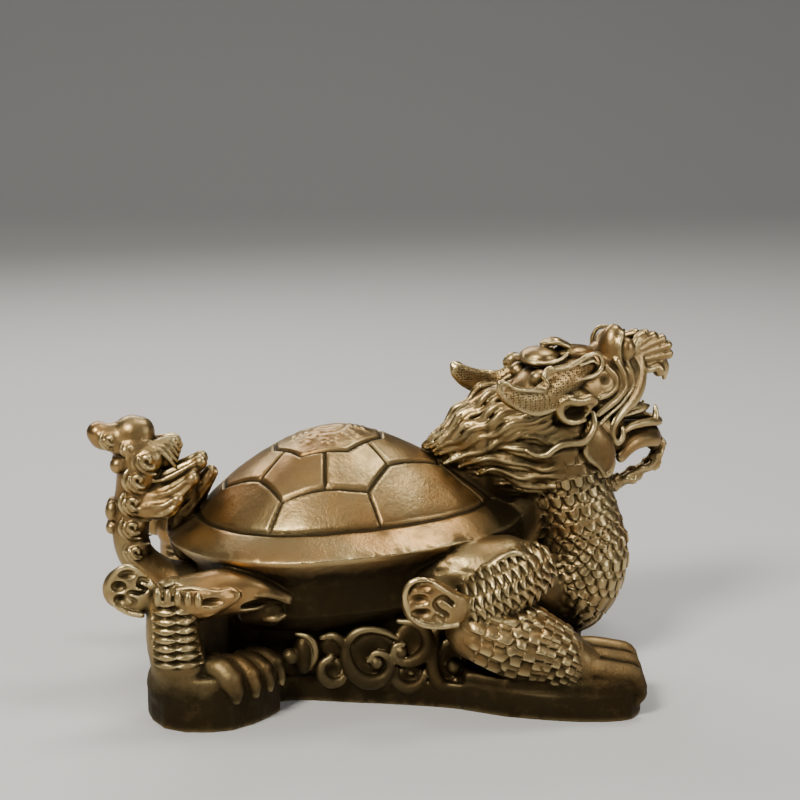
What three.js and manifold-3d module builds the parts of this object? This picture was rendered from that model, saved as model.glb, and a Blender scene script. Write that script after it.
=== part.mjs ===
// A dragon turtle figure, cast in one piece of brass: a dragon-headed turtle on a low lobed plinth.
// Millimetres, +Z up, +X towards the head, the origin on the underside, under the middle of the figure.
import * as THREE from 'three';
import { mergeVertices } from 'three/addons/utils/BufferGeometryUtils.js';
import Module from 'manifold-3d';

const wasm = await Module();
wasm.setup();

// Driving dimensions.
const FIGURE_LENGTH = 234.5; // tail bulb to the nose fan
const PLINTH_HEIGHT = 10;
const SHELL_LENGTH = 142;
const SHELL_WIDTH = 114;
const BAND_WIDTH = 12; // the sloping band round the shell
const BAND_RISE = 7.5;
const BAND_UNDERCUT = 9.5; // depth of the band's underside below the rim
const DOME_RISE = 31; // apex above the seam between band and dome
const BELLY_DROP = 33; // belly's underside below the rim
const GROOVE_WIDTH = 1.9;
const SEAM_WIDTH = 2.2; // the groove between band and dome
const SHELL_SIDES = 48; // facets round the shell
const HEAD_TURN_DEG = 17; // towards the figure's left
const MOST_FACETS = 9900;

// The free form is drawn at this length and scaled to the figure's own.
const DRAWN_LENGTH = 234.5;
const DRAWN_PLINTH = 10;
const SCALE = FIGURE_LENGTH / DRAWN_LENGTH;

// Where the shell sits, as drawn.
const RIM_CENTRE_X = -27;
const REAR_SHARE = 0.4; // of the shell's length, behind its widest place
const RIM_REAR_Z = 60.6;
const RIM_FRONT_Z = 66.3;
const APEX_X = -12;
const LIP = { inset: 1, drop: 2 }; // the rounding under the rim
const UNDERCUT_INSET = 9;
const WALL_TOP = { inset: 11, drop: 3 }; // the drop counts from the undercut
const WALL_FOOT = { inset: 12, rise: 8 }; // the rise counts from the belly's underside
const BELLY_INSET = 19;
const DOME_SHARES = [0, 0.22, 0.44, 0.64, 0.83];
const DOME_POWER = 1.75; // of the dome's fall towards its sides
const FRONT_FLATNESS = 0.3; // less power in front, more behind
const GROOVE_OVERRUN = 0.03; // of a groove's length, past each of its ends
const GROOVE_STEPS = 2;
const GROOVE_SIDES = 3;

// The head's pivot, as drawn, and the frame of the turned head: forward, to its left, up.
const HEAD_PIVOT = [80, 0, 100];
const TURN = THREE.MathUtils.degToRad(HEAD_TURN_DEG);

// The mane starts to turn with the head here, and has turned with it fully this much further on.
const MANE_TURN_START = 25;
const MANE_TURN_LENGTH = 55;
const MANE_TURN_SIDE = 16; // the side that stays where it is

// The making of the light surface.
const SAME_PLACE = 1e-3; // points nearer than this are one
const FIRST_BEND = 1e-3; // where the thinning of facets starts
const BEND_GROWTH = 1.2;
const LEAST_ALIGNMENT = 0.3; // of a facet's directions before and after

const BOTH_SIDES = [-1, 1];
const UP = new THREE.Vector3(0, 0, 1);
const SIDEWAYS = new THREE.Vector3(0, 1, 0);

// A point of the body, from its drawn place.
function at(x, y, z) {
  return new THREE.Vector3(SCALE * x, SCALE * y, PLINTH_HEIGHT + SCALE * (z - DRAWN_PLINTH));
}

// A point of the head: forward of the pivot, towards its left, and above it.
function inHead(forward, left, above) {
  const x = HEAD_PIVOT[0] + forward * Math.cos(TURN) - left * Math.sin(TURN);
  const y = HEAD_PIVOT[1] + forward * Math.sin(TURN) + left * Math.cos(TURN);
  return at(x, y, HEAD_PIVOT[2] + above);
}

// A point of the mane, which hangs straight at the back and turns with the head in front.
function inMane(x, y, z) {
  const turned = THREE.MathUtils.clamp((x - MANE_TURN_START) / MANE_TURN_LENGTH, 0, 1);
  return at(x - Math.sin(TURN) * (y + MANE_TURN_SIDE) * turned, y, z);
}

// The corners of each triangle of an index, without those that merging drew to a line.
function properTriangles(index) {
  const triangles = [];
  for (let i = 0; i < index.length; i += 3) {
    const corners = [...index.subarray(i, i + 3)];
    if (new Set(corners).size === 3) triangles.push(corners);
  }
  return triangles;
}

// A closed geometry as a solid.
function solid(geometry) {
  geometry.deleteAttribute('normal');
  geometry.deleteAttribute('uv');
  const merged = mergeVertices(geometry, SAME_PLACE);
  const vertProperties = new Float32Array(merged.attributes.position.array);
  const triVerts = new Uint32Array(properTriangles(merged.index.array).flat());
  return new wasm.Manifold(new wasm.Mesh({ numProp: 3, vertProperties, triVerts }));
}

// Joins solids two by two, which is quicker than adding them one after another.
function join(solids) {
  if (solids.length === 1) return solids[0];
  const middle = Math.ceil(solids.length / 2);
  return join(solids.slice(0, middle)).add(join(solids.slice(middle)));
}

// An oval ball with its three drawn radii along x, y and z, turned about the vertical.
function ball(centre, radii, { sides = 8, rings = 6, turn = 0 } = {}) {
  const geometry = new THREE.SphereGeometry(SCALE, sides, rings);
  geometry.rotateX(Math.PI / 2);
  geometry.scale(...radii);
  geometry.rotateZ(turn);
  geometry.translate(centre.x, centre.y, centre.z);
  return solid(geometry);
}

// A limb runs along a smooth path. Each of its rows is a place and a drawn radius.
// It is thinner by the share `flat` along the direction `face`, and its ends are rounded.
function limb(place, rows, { sides = 7, steps = 2 * rows.length - 2, flat = 1, face = SIDEWAYS } = {}) {
  const path = new THREE.CatmullRomCurve3(rows.map(([x, y, z]) => place(x, y, z)));
  const girth = new THREE.CatmullRomCurve3(rows.map((row) => new THREE.Vector3(row[3], 0, 0)));
  const capSteps = sides > 8 ? [Math.SQRT1_2, 1] : [1];
  const rings = [
    ...capSteps.map((beyond) => ({ along: 0, beyond: -beyond })).reverse(),
    ...Array.from({ length: steps + 1 }, (_, i) => ({ along: i / steps, beyond: 0 })),
    ...capSteps.map((beyond) => ({ along: 1, beyond })),
  ];
  const thin = face.clone();
  const frames = rings.map(({ along, beyond }) => {
    const tangent = path.getTangent(along);
    thin.addScaledVector(tangent, -thin.dot(tangent)).normalize();
    const wide = new THREE.Vector3().crossVectors(tangent, thin);
    const radius = SCALE * girth.getPoint(along).x;
    const centre = path.getPoint(along).addScaledVector(tangent, radius * beyond);
    return { centre, wide, thin: thin.clone(), radius: radius * Math.sqrt(1 - beyond * beyond) };
  });
  const geometry = new THREE.SphereGeometry(1, sides, rings.length - 1);
  const position = geometry.attributes.position;
  for (let i = 0; i < position.count; i += 1) {
    const frame = frames[Math.floor(i / (sides + 1))];
    const angle = (2 * Math.PI * (i % (sides + 1))) / sides;
    const point = frame.centre.clone();
    point.addScaledVector(frame.wide, Math.cos(angle) * frame.radius);
    point.addScaledVector(frame.thin, Math.sin(angle) * frame.radius * flat);
    position.setXYZ(i, point.x, point.y, point.z);
  }
  return solid(geometry);
}

// The same limb on both sides of the figure; rows give the distance out from the middle as y.
function pair(place, rows, options) {
  return BOTH_SIDES.map((side) => limb((x, y, z) => place(x, side * y, z), rows, options));
}

// Height of the shell's rim where the shell leans forward and up.
function rimHeight(x) {
  const rear = RIM_CENTRE_X - REAR_SHARE * SHELL_LENGTH / SCALE;
  const share = (x / SCALE - rear) / (SHELL_LENGTH / SCALE);
  return at(0, 0, THREE.MathUtils.lerp(RIM_REAR_Z, RIM_FRONT_Z, share)).z;
}

// The egg outline of the shell at an angle from the front, drawn in from the rim by an inset.
function rimPoint(angle, inset) {
  const reach = Math.cos(angle) > 0 ? 1 - REAR_SHARE : REAR_SHARE;
  const x = SCALE * RIM_CENTRE_X + (SHELL_LENGTH * reach - inset) * Math.cos(angle);
  const y = (SHELL_WIDTH / 2 - inset) * Math.sin(angle);
  return new THREE.Vector3(x, y, rimHeight(x));
}

// A point of the dome, at a share of the way from the apex to the seam; it is rounder behind.
function domePoint(angle, share) {
  const apex = new THREE.Vector3(SCALE * APEX_X, 0, 0);
  const seam = rimPoint(angle, BAND_WIDTH);
  const forward = (seam.x - apex.x) / Math.hypot(seam.x - apex.x, seam.y);
  const power = DOME_POWER - FRONT_FLATNESS * forward;
  const x = THREE.MathUtils.lerp(apex.x, seam.x, share);
  const y = seam.y * share;
  return new THREE.Vector3(x, y, rimHeight(x) + BAND_RISE + DOME_RISE * (1 - share ** power));
}

// The place on the dome above a drawn point, found by its share of the way to the seam.
function onDome(drawnX, drawnY) {
  const x = SCALE * (drawnX - APEX_X);
  const y = SCALE * drawnY;
  let low = -Math.PI;
  let high = 0;
  for (let i = 0; i < 40; i += 1) {
    const middle = (low + high) / 2;
    const seam = rimPoint(middle, BAND_WIDTH);
    const turn = (seam.x - SCALE * APEX_X) * y - seam.y * x;
    if (turn < 0) high = middle;
    else low = middle;
  }
  const seam = rimPoint(low, BAND_WIDTH);
  return domePoint(low, Math.hypot(x, y) / Math.hypot(seam.x - SCALE * APEX_X, seam.y));
}

// Shell and belly as one body: dome, seam, band, rim, undercut and the belly's side.
function shell() {
  const half = SEAM_WIDTH / 2;
  const ring = (inset, rise) => (angle) => rimPoint(angle, inset).add(new THREE.Vector3(0, 0, rise));
  const stations = [
    ...DOME_SHARES.map((share) => (angle) => domePoint(angle, share)),
    (angle) => domePoint(angle, 1 - SEAM_WIDTH / SHELL_WIDTH),
    (angle) => domePoint(angle, 1).add(new THREE.Vector3(0, 0, -half)),
    ring(BAND_WIDTH - half, BAND_RISE),
    ring(0, 0),
    ring(LIP.inset, -LIP.drop),
    ring(UNDERCUT_INSET, -BAND_UNDERCUT),
    ring(WALL_TOP.inset, -BAND_UNDERCUT - WALL_TOP.drop),
    ring(WALL_FOOT.inset, -BELLY_DROP + WALL_FOOT.rise),
    ring(BELLY_INSET, -BELLY_DROP),
    () => new THREE.Vector3(SCALE * RIM_CENTRE_X, 0, rimHeight(SCALE * RIM_CENTRE_X) - BELLY_DROP),
  ];
  const profile = stations.map((_, i) => new THREE.Vector2(1 + i, -i));
  const geometry = new THREE.LatheGeometry(profile, SHELL_SIDES);
  const position = geometry.attributes.position;
  for (let i = 0; i < position.count; i += 1) {
    const turn = Math.floor(i / stations.length);
    const point = stations[i % stations.length]((-2 * Math.PI * (turn % SHELL_SIDES)) / SHELL_SIDES);
    position.setXYZ(i, point.x, point.y, point.z);
  }
  return solid(geometry);
}

// Plate corners on the dome's right half, as drawn; the left half mirrors them.
const PLATE_CORNERS = {
  topRear: [-40.4, -5.8],
  topRearSide: [-31, -18],
  topFrontSide: [-13, -18],
  topFront: [1, -6.1],
  rearBranch: [-37, -11],
  rearFork: [-46.8, -20.4],
  rearMiddle: [-60.5, -7],
  sideRear: [-38.7, -33.5],
  sideFork: [-22.3, -32.4],
  sideBranch: [-21.7, -18.3],
  sideFront: [-5.8, -32],
  frontFork: [2.7, -20.4],
  frontBranch: [-4, -12.5],
  frontMiddle: [23.5, -8],
  rimFront: [43, -17.5],
  rimRear: [-45, -42.5],
  rimMiddle: [-0.5, -44.5],
};
const PLATE_SEAMS = [
  ['topRear', 'topRearSide', 'topFrontSide', 'topFront'],
  ['rearBranch', 'rearFork', 'rearMiddle'],
  ['rearFork', 'sideRear', 'sideFork', 'sideFront', 'frontFork', 'frontMiddle', 'rimFront'],
  ['sideBranch', 'sideFork'],
  ['frontBranch', 'frontFork'],
  ['sideRear', 'rimRear'],
  ['sideFront', 'rimMiddle'],
];
const MIDDLE_SEAMS = ['topRear', 'topFront', 'rearMiddle', 'frontMiddle'];

// A groove cutter along the dome between two drawn points.
function groove(from, to) {
  const points = Array.from({ length: GROOVE_STEPS + 1 }, (_, i) => {
    const share = THREE.MathUtils.lerp(-GROOVE_OVERRUN, 1 + GROOVE_OVERRUN, i / GROOVE_STEPS);
    const x = THREE.MathUtils.lerp(from[0], to[0], share);
    const y = THREE.MathUtils.lerp(from[1], to[1], share);
    const point = onDome(x, -Math.abs(y));
    return y > 0 ? point.setY(-point.y) : point;
  });
  const section = new THREE.Shape(Array.from({ length: GROOVE_SIDES }, (_, i) => {
    const angle = (2 * Math.PI * i) / GROOVE_SIDES;
    return new THREE.Vector2(Math.cos(angle), Math.sin(angle)).multiplyScalar(GROOVE_WIDTH / 2);
  }));
  const extrudePath = new THREE.CatmullRomCurve3(points);
  return solid(new THREE.ExtrudeGeometry(section, { steps: GROOVE_STEPS, extrudePath, bevelEnabled: false }));
}

function shellGrooves() {
  const cutters = [];
  for (const side of BOTH_SIDES) {
    const corner = (name) => [PLATE_CORNERS[name][0], -side * PLATE_CORNERS[name][1]];
    for (const seam of PLATE_SEAMS) {
      for (let i = 1; i < seam.length; i += 1) cutters.push(groove(corner(seam[i - 1]), corner(seam[i])));
    }
  }
  for (const name of MIDDLE_SEAMS) {
    const [x, y] = PLATE_CORNERS[name];
    cutters.push(groove([x, y], [x, -y]));
  }
  return cutters;
}

// The plinth: a lobe under each foot and a waist between them.
function plinth() {
  const half = [
    [-82, -14], [-91, -34], [-86, -52], [-67, -61.5], [-50, -53], [-40, -34], [-12, -37.5], [26, -47],
    [46, -57], [70, -64], [90, -63.5], [97, -52], [92, -38], [86, -16],
  ];
  const outline = [...half, ...half.map(([x, y]) => [x, -y]).reverse()];
  const curve = new THREE.CatmullRomCurve3(outline.map(([x, y]) => at(x, y, 0).setZ(0)), true);
  const shape = new THREE.Shape(curve.getPoints(56).slice(0, -1).map((p) => new THREE.Vector2(p.x, p.y)));
  return solid(new THREE.ExtrudeGeometry(shape, { depth: PLINTH_HEIGHT, bevelEnabled: false }));
}

// The dark core behind the cloud scrolls, from the plinth into the belly.
function core() {
  const half = [[-78, 16], [-60, 30], [-36, 32], [10, 36], [40, 36], [60, 24], [68, 0]];
  return block([...half, ...half.slice(0, -1).reverse().map(([x, y]) => [x, -y])], 38);
}

// An upright block over a closed drawn outline, from inside the plinth up to a drawn height.
function block(outline, top) {
  const shape = new THREE.Shape(outline.map(([x, y]) => new THREE.Vector2(SCALE * x, SCALE * y)));
  const bottom = PLINTH_HEIGHT / 2;
  const depth = at(0, 0, top).z - bottom;
  return solid(new THREE.ExtrudeGeometry(shape, { depth, bevelEnabled: false }).translate(0, 0, bottom));
}

// Cloud scrolls along both sides, between the legs; rows are x, distance out, z, radius.
function clouds() {
  const scrolls = [
    [[-38, 33, 22, 5.5], [-36, 38, 22, 5.5]],
    [[-36, 34, 31, 2.2], [-28, 38, 27, 3.2], [-27, 38, 19, 3], [-31, 34, 12, 2.2]],
    [[-24, 34, 29, 2.6], [-21, 39, 25, 3.8], [-17, 38, 19.5, 3]],
    [[-24, 35, 19, 2], [-22, 39, 12.5, 2.6], [-17, 38, 10.5, 2.2]],
    [[4, 38, 27, 2], [-6, 39, 31, 2.6], [-15, 39, 26, 3], [-14, 40, 16, 3.4], [-5, 40, 12, 3.4],
      [0, 40, 17, 2.6], [-3.5, 40.5, 22, 2.4], [-8, 40, 20, 1.8]],
    [[0, 38, 33, 2], [10, 40, 32.5, 3], [15, 41, 26, 3.4], [10, 41, 19.5, 2.8], [2.5, 41, 20.5, 2.2],
      [1.5, 41, 26, 2], [6, 41.5, 27.5, 1.8]],
    [[2, 40, 15.5, 2.2], [4, 41, 10, 2.4], [11, 41.5, 9.5, 2.4], [14, 41, 15, 2.2]],
    [[18, 40, 29, 2.6], [16.5, 42, 19, 2.8], [20, 43, 10.5, 2.8], [29, 43, 10.5, 2.6], [31, 42, 16, 2]],
  ];
  const beads = [[-3.5, 40, 18, 3.2], [5.5, 41.5, 24, 3], [25, 38, 18, 4.2]];
  const bars = scrolls.flatMap((rows) => pair(at, rows, { steps: 3 * rows.length - 3 }));
  const balls = beads.flatMap(([x, y, z, r]) => BOTH_SIDES.map((side) => (
    ball(at(x, side * y, z), [r, r, r])
  )));
  return [...bars, ...balls];
}

// A front leg: smooth shoulder, upper arm back to the elbow, forearm forward to the wrist and filled beneath.
function frontLegs() {
  const under = [[28, 36], [30, 48], [44, 56], [64, 62], [70, 50], [60, 36]];
  return [
    ...BOTH_SIDES.map((side) => {
      const outline = under.map(([x, y]) => [x, side * y]);
      return block(side > 0 ? outline : outline.reverse(), 17);
    }),
    ...pair(at, [[18, 34, 50, 10], [32, 38, 52, 12.5], [46, 37.5, 53, 12.6]], { sides: 12 }),
    ...pair(at, [[54, 40, 53, 11], [46, 46, 50, 12], [36, 50, 44, 10]], { sides: 12 }),
    ...pair(at, [[35, 48, 33, 13], [49, 50, 28, 14.5], [62, 53, 24, 11.5], [73, 55, 18, 9]],
      { sides: 14, flat: 0.95 }),
    ...pair(at, [[70, 54, 12, 9.5], [86, 54.5, 12, 10]], { sides: 12 }),
  ];
}

// A rear leg: thigh under the shell, two flame folds, the shank down to a splayed foot.
function rearLegs() {
  return [
    ...pair(at, [[-83, 49, 47, 8], [-70, 48, 48, 9], [-56, 44, 49, 9], [-44, 39, 47, 8]], { sides: 12 }),
    ...pair(at, [[-79, 53, 48, 5], [-67, 54, 48, 5.5], [-56, 52.5, 50, 1.8]]),
    ...pair(at, [[-68, 50, 52.5, 4], [-52, 48, 52, 4.2], [-37, 46, 46, 1.8]]),
    ...pair(at, [[-52, 42, 39, 4], [-44, 43, 40, 5.5]]),
    ...pair(at, [[-80, 50, 46, 9.5], [-80, 53, 35, 10], [-78, 53, 24, 10.5]], { sides: 12, flat: 0.9 }),
    ...pair(at, [[-79, 47, 15, 11.5], [-70, 48, 15, 11.5], [-62, 49, 13.5, 9.5]], { sides: 12 }),
  ];
}

// Toes end in a claw that bends down; each row is x, distance out, z, radius.
function toes() {
  const front = [[61, 18], [54, 20], [47, 22]].map(([y, z]) => (
    [[71, y - 1, z - 1, 3.6], [84, y, z, 4.2], [92.5, y, z - 1.5, 4], [95, y, z - 7.5, 3.4]]
  ));
  const rear = [0, 1, 2, 3].map((i) => {
    const [x, y] = [-58 + 5.4 * i, 59.5 - 5.6 * i];
    return [[x - 9, y - 4, 23, 4], [x - 3, y - 1, 21, 4.4], [x, y, 17, 3.6], [x + 0.5, y, 13, 2.8]];
  });
  return [...front, ...rear].flatMap((rows) => pair(at, rows));
}

// Flat drop-shaped tufts of hair behind each elbow and each hock.
function tufts() {
  const elbow = [[33, 55, 42, 4.5], [23, 60, 44.5, 7], [13.5, 61, 47.8, 9.3]];
  const hock = [[-86, 51, 48, 5], [-93, 54, 51.5, 7.6], [-96.5, 55, 54.5, 8.6]];
  return [elbow, hock].flatMap((rows) => pair(at, rows, { sides: 14, flat: 0.38 }));
}

// The neck rises from the shell's front in an S, with a collar of skin where it leaves the shell.
function neck() {
  const rows = [[50, 0, 44, 17], [65, 0, 33, 17], [78, 0, 32, 17.5], [84, 0, 46, 18], [80.5, 0, 63, 17.5],
    [76, 0, 79, 16.5], [74, 0, 94, 15]];
  const collar = [[42, 0, 50, 12.5], [56, 0, 58, 12.5], [66, 0, 74, 11.5]];
  return [limb(at, rows, { sides: 16 }), limb(at, collar, { sides: 12 })];
}

// The head's masses: cranium, upper muzzle, cheeks, lower jaw and tongue.
function skull() {
  return [
    limb(inHead, [[-16, 0, 13, 13], [-4, 0, 15, 15], [8, 0, 17.5, 13.5], [18, 0, 21, 10]],
      { sides: 14, face: UP }),
    limb(inHead, [[-6, 0, 0, 14], [4, 0, -1, 14], [10, 0, -3, 12]], { sides: 12, flat: 0.9, face: UP }),
    limb(inHead, [[12, 0, 17, 11], [22, 0, 19, 7], [27, 0, 23, 5.5]], { sides: 12, flat: 0.9, face: UP }),
    limb(inHead, [[2, 0, -7, 12], [12, 0, -7.5, 10.5], [23, 0, -5, 9], [32, 0, -4, 7.5], [36.5, 0, -6, 5]],
      { sides: 12, flat: 0.6, face: UP }),
    limb(inHead, [[8, 0, 2, 6], [22, 0, 4.5, 5], [30, 0, 5.5, 3.4]], { flat: 0.45, face: UP }),
    limb(inHead, [[-10, 0, -4, 15], [-4, 0, -16, 15]], { sides: 14 }),
  ];
}

// Eyes under domed lids, each lid bulging above the brow.
function eyes() {
  return BOTH_SIDES.flatMap((side) => [
    ball(inHead(13, side * 6.2, 30.6), [5.9, 5.6, 10.6], { sides: 12, rings: 8, turn: TURN }),
    ball(inHead(17.2, side * 9, 31.4), [3.6, 3.5, 4.5]),
  ]);
}

// The nose is a fan of ribs with curls beneath it.
function noseFan() {
  const tips = [[27, 2.5, 34], [33.5, 2.5, 34], [38.5, 2.5, 30.5], [38.5, 4, 26], [33.5, 5.5, 23.5]];
  const ribs = tips.flatMap(([forward, left, above]) => {
    const middle = [(19 + forward) / 2, left, (28 + above) / 2, 3.2];
    return pair(inHead, [[19, 4, 27, 3], middle, [forward, left, above, 2.6]]);
  });
  const drop = limb(inHead, [[37, 0, 27, 2.8], [40.3, 0, 21, 2], [40, 0, 16.5, 0.9]]);
  return [...ribs, drop];
}

// Ribs that sweep from the eye round the mouth to the ear, the foremost being the upper lip.
function cheekRibs() {
  const lip = [[19, 6, 27, 3], [23, 6, 21, 4], [23, 7, 14.5, 4], [17, 9.5, 9.5, 3], [9, 12.5, 5.5, 2.4],
    [5, 13.5, 2, 2]];
  const ribs = [
    [[11.7, 10, 26.5, 1.6], [16, 10.5, 20.4, 1.9], [15.5, 11, 14.5, 1.9], [8, 13, 9.8, 1.8],
      [0.3, 14, 6.4, 1.5]],
    [[8, 11, 25, 1.4], [12, 12, 19.2, 1.7], [9, 13, 13.6, 1.7], [0, 14.5, 11.5, 1.4]],
    [[-3, 12.5, 27, 1.8], [6, 12, 24, 1.6], [8.5, 12.8, 18.5, 1.5], [1, 14, 16, 1.5]],
  ];
  return [lip, ...ribs].flatMap((rows) => pair(inHead, rows));
}

// Lower lip, mouth corner fold, jowl, fangs, and the beard that loops back to the throat.
function jaws() {
  return [
    ...pair(inHead, [[14, 9, 1, 2.2], [25, 7.5, 1, 2.2], [33, 6, 0.8, 2.2], [36.5, 2, 0.2, 2.4]]),
    ...pair(inHead, [[9, 12, 6, 1.6], [3.5, 13, 1, 2], [7, 12.5, -4.8, 2], [12.5, 11.5, -2, 2]]),
    ...pair(inHead, [[-2, 11.5, -6, 5.5], [3, 11.5, -10.5, 6], [6, 10.5, -15.5, 3.4]],
      { sides: 10, flat: 0.5 }),
    ...pair(inHead, [[33.2, 5.6, 1, 1.5], [33, 5, 4.5, 1.1], [32.5, 4.6, 7, 0.5]], { sides: 5 }),
    limb(inHead, [[35.5, 0, -7, 4.2], [39, 0, -12, 2.8], [37, 0, -17.5, 3], [29, 0, -22, 2.6],
      [20, 0, -25, 3.2], [8, 0, -24, 5]]),
  ];
}

// Cupped ears.
function ears() {
  return BOTH_SIDES.flatMap((side) => {
    const lobe = ball(inHead(-9.5, side * 14, 12), [9, 5.5, 6.8], { sides: 12, rings: 8, turn: TURN });
    const hollow = ball(inHead(-9, side * 19, 10.5), [6.4, 4.2, 4], { sides: 10, turn: TURN });
    return lobe.subtract(hollow);
  });
}

// Forked horns that lie back along the head, and the crest between them.
function hornsAndCrest() {
  const tine = [[-1, 10.5, 27, 4], [-9, 13, 23, 5], [-18, 15.5, 18, 5.6], [-29, 18.5, 16.2, 5],
    [-39, 20, 20, 4.2], [-42.5, 20.4, 22, 3.8]];
  const prong = [[-8, 12.5, 25, 3.6], [-15, 13.8, 25, 3.2], [-21, 15, 25, 2.8]];
  const domes = [[-18, 0, 26, 9, 7, 4.6], [-9, 0, 29.5, 6.5, 6, 5], [-1.5, 0, 28.5, 7.5, 6, 5]];
  return [
    ...pair(inHead, tine, { sides: 8, flat: 0.72 }),
    ...pair(inHead, prong, { flat: 0.8 }),
    ...domes.map(([u, v, w, a, b, c]) => ball(inHead(u, v, w), [a, b, c], { sides: 12, turn: TURN })),
  ];
}

// Wavy locks that sweep back from cheek and nape over a solid mane.
function mane() {
  const locks = [
    [[58, 9, 112, 5], [44, 8, 107, 5], [32, 6, 99, 4], [22, 4, 93, 2.4]],
    [[64, 14, 108, 4.5], [50, 14, 104, 4.5], [38, 10, 97, 4], [27, 6, 90.5, 2.4]],
    [[83, 15, 107, 2.2], [81, 16.5, 101, 2.6], [72, 17.5, 98, 3], [62, 18, 94, 3.2], [50, 15.5, 95, 3.4],
      [40, 11, 94.5, 3], [30, 7, 89, 2]],
    [[80, 15.5, 95, 2.6], [70, 17.5, 94.5, 3], [61, 18, 90, 3.2], [50, 15.5, 90, 3.4], [38, 9, 88.5, 2.4]],
    [[80, 16, 89, 2.6], [69, 17.8, 87, 3], [60, 18, 85.8, 3.2], [48, 14.5, 87, 3], [39, 10, 84, 2.2]],
    [[84, 15, 83, 2.6], [75, 17.2, 84, 3], [63, 18.2, 81.5, 3.2], [52, 15.5, 82, 3], [44, 11, 79, 2.2]],
    [[87, 13, 79, 2.4], [78, 16.5, 78, 3], [66, 18, 77, 3.2], [56, 15, 77.5, 2.8]],
  ];
  const mass = [[78, 0, 96, 17], [62, 0, 95, 17.5], [46, 0, 93, 14.5], [32, 0, 89, 9]];
  return [
    ...locks.flatMap((rows) => pair(inMane, rows, { flat: 0.8 })),
    limb(inMane, mass, { sides: 14 }),
    limb(inMane, [[58, 0, 114, 6], [44, 0, 109, 6], [30, 0, 99, 5], [20, 0, 92.5, 3]], { sides: 10 }),
  ];
}

// The tail rises clear of the shell: a stem of spiral curls, a rolled tip, and leaves that reach the rim.
function tail() {
  const stem = [[-70, 0, 38, 9], [-86, 0, 41, 8], [-97, 0, 52, 7], [-98, 0, 66, 7.5], [-95, 0, 79, 8.5],
    [-94, 0, 92, 9], [-101, 0, 98, 6.5], [-108, 0, 99, 5]];
  const curls = [[-97, 5.5, 96, 4.6], [-90, 5.5, 91.5, 5.6], [-94, 6, 83.5, 5.4], [-96, 6, 74.2, 5.2],
    [-96.6, 5.4, 64.2, 5], [-95.6, 5, 54, 4.6], [-102, 4, 88, 4], [-105, 3, 69.5, 4]];
  const knobs = [[-96.5, 0, 100.5, 7.5, 7, 7], [-109, 0, 100.5, 5, 5, 4.5], [-85, 0, 92, 7, 6, 6.5]];
  const leaves = [
    [[-90, 3, 78, 5], [-79, 4, 83, 4.2], [-70, 4, 89, 2.4]],
    [[-90, 6, 74, 4.5], [-81, 8, 77, 4], [-73, 9, 83.5, 2.4]],
    [[-92, 7, 71, 4], [-84, 10, 72, 3.6], [-79, 10, 75.5, 2.2]],
  ];
  return [
    limb(at, stem, { sides: 10 }),
    ...curls.flatMap(([x, y, z, r]) => BOTH_SIDES.map((side) => (
      ball(at(x, side * y, z), [r * 1.15, r * 0.8, r])
    ))),
    ...knobs.map(([x, y, z, ...radii]) => ball(at(x, y, z), radii, { sides: 10 })),
    ...leaves.flatMap((rows) => pair(at, rows, { flat: 0.7 })),
    limb(at, [[-66, 0, 84, 2.6], [-73, 0, 74, 4.5], [-78, 0, 64, 5.5], [-76, 0, 54, 6]]),
    limb(at, [[-84, 0, 78, 5], [-74, 0, 77, 5]]),
  ];
}

// Every form joined. A casting hides no sealed pockets, so only outer surfaces are kept.
function dragonTurtle() {
  const carved = shellGrooves().reduce((body, cutter) => body.subtract(cutter), shell());
  const whole = join([
    carved, plinth(), core(), ...clouds(), ...frontLegs(), ...rearLegs(), ...toes(), ...tufts(), ...neck(),
    ...skull(), ...eyes(), ...noseFan(), ...cheekRibs(), ...jaws(), ...ears(), ...hornsAndCrest(), ...mane(),
    ...tail(),
  ]);
  return join(whole.decompose().filter((part) => part.volume() > 0));
}

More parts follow.
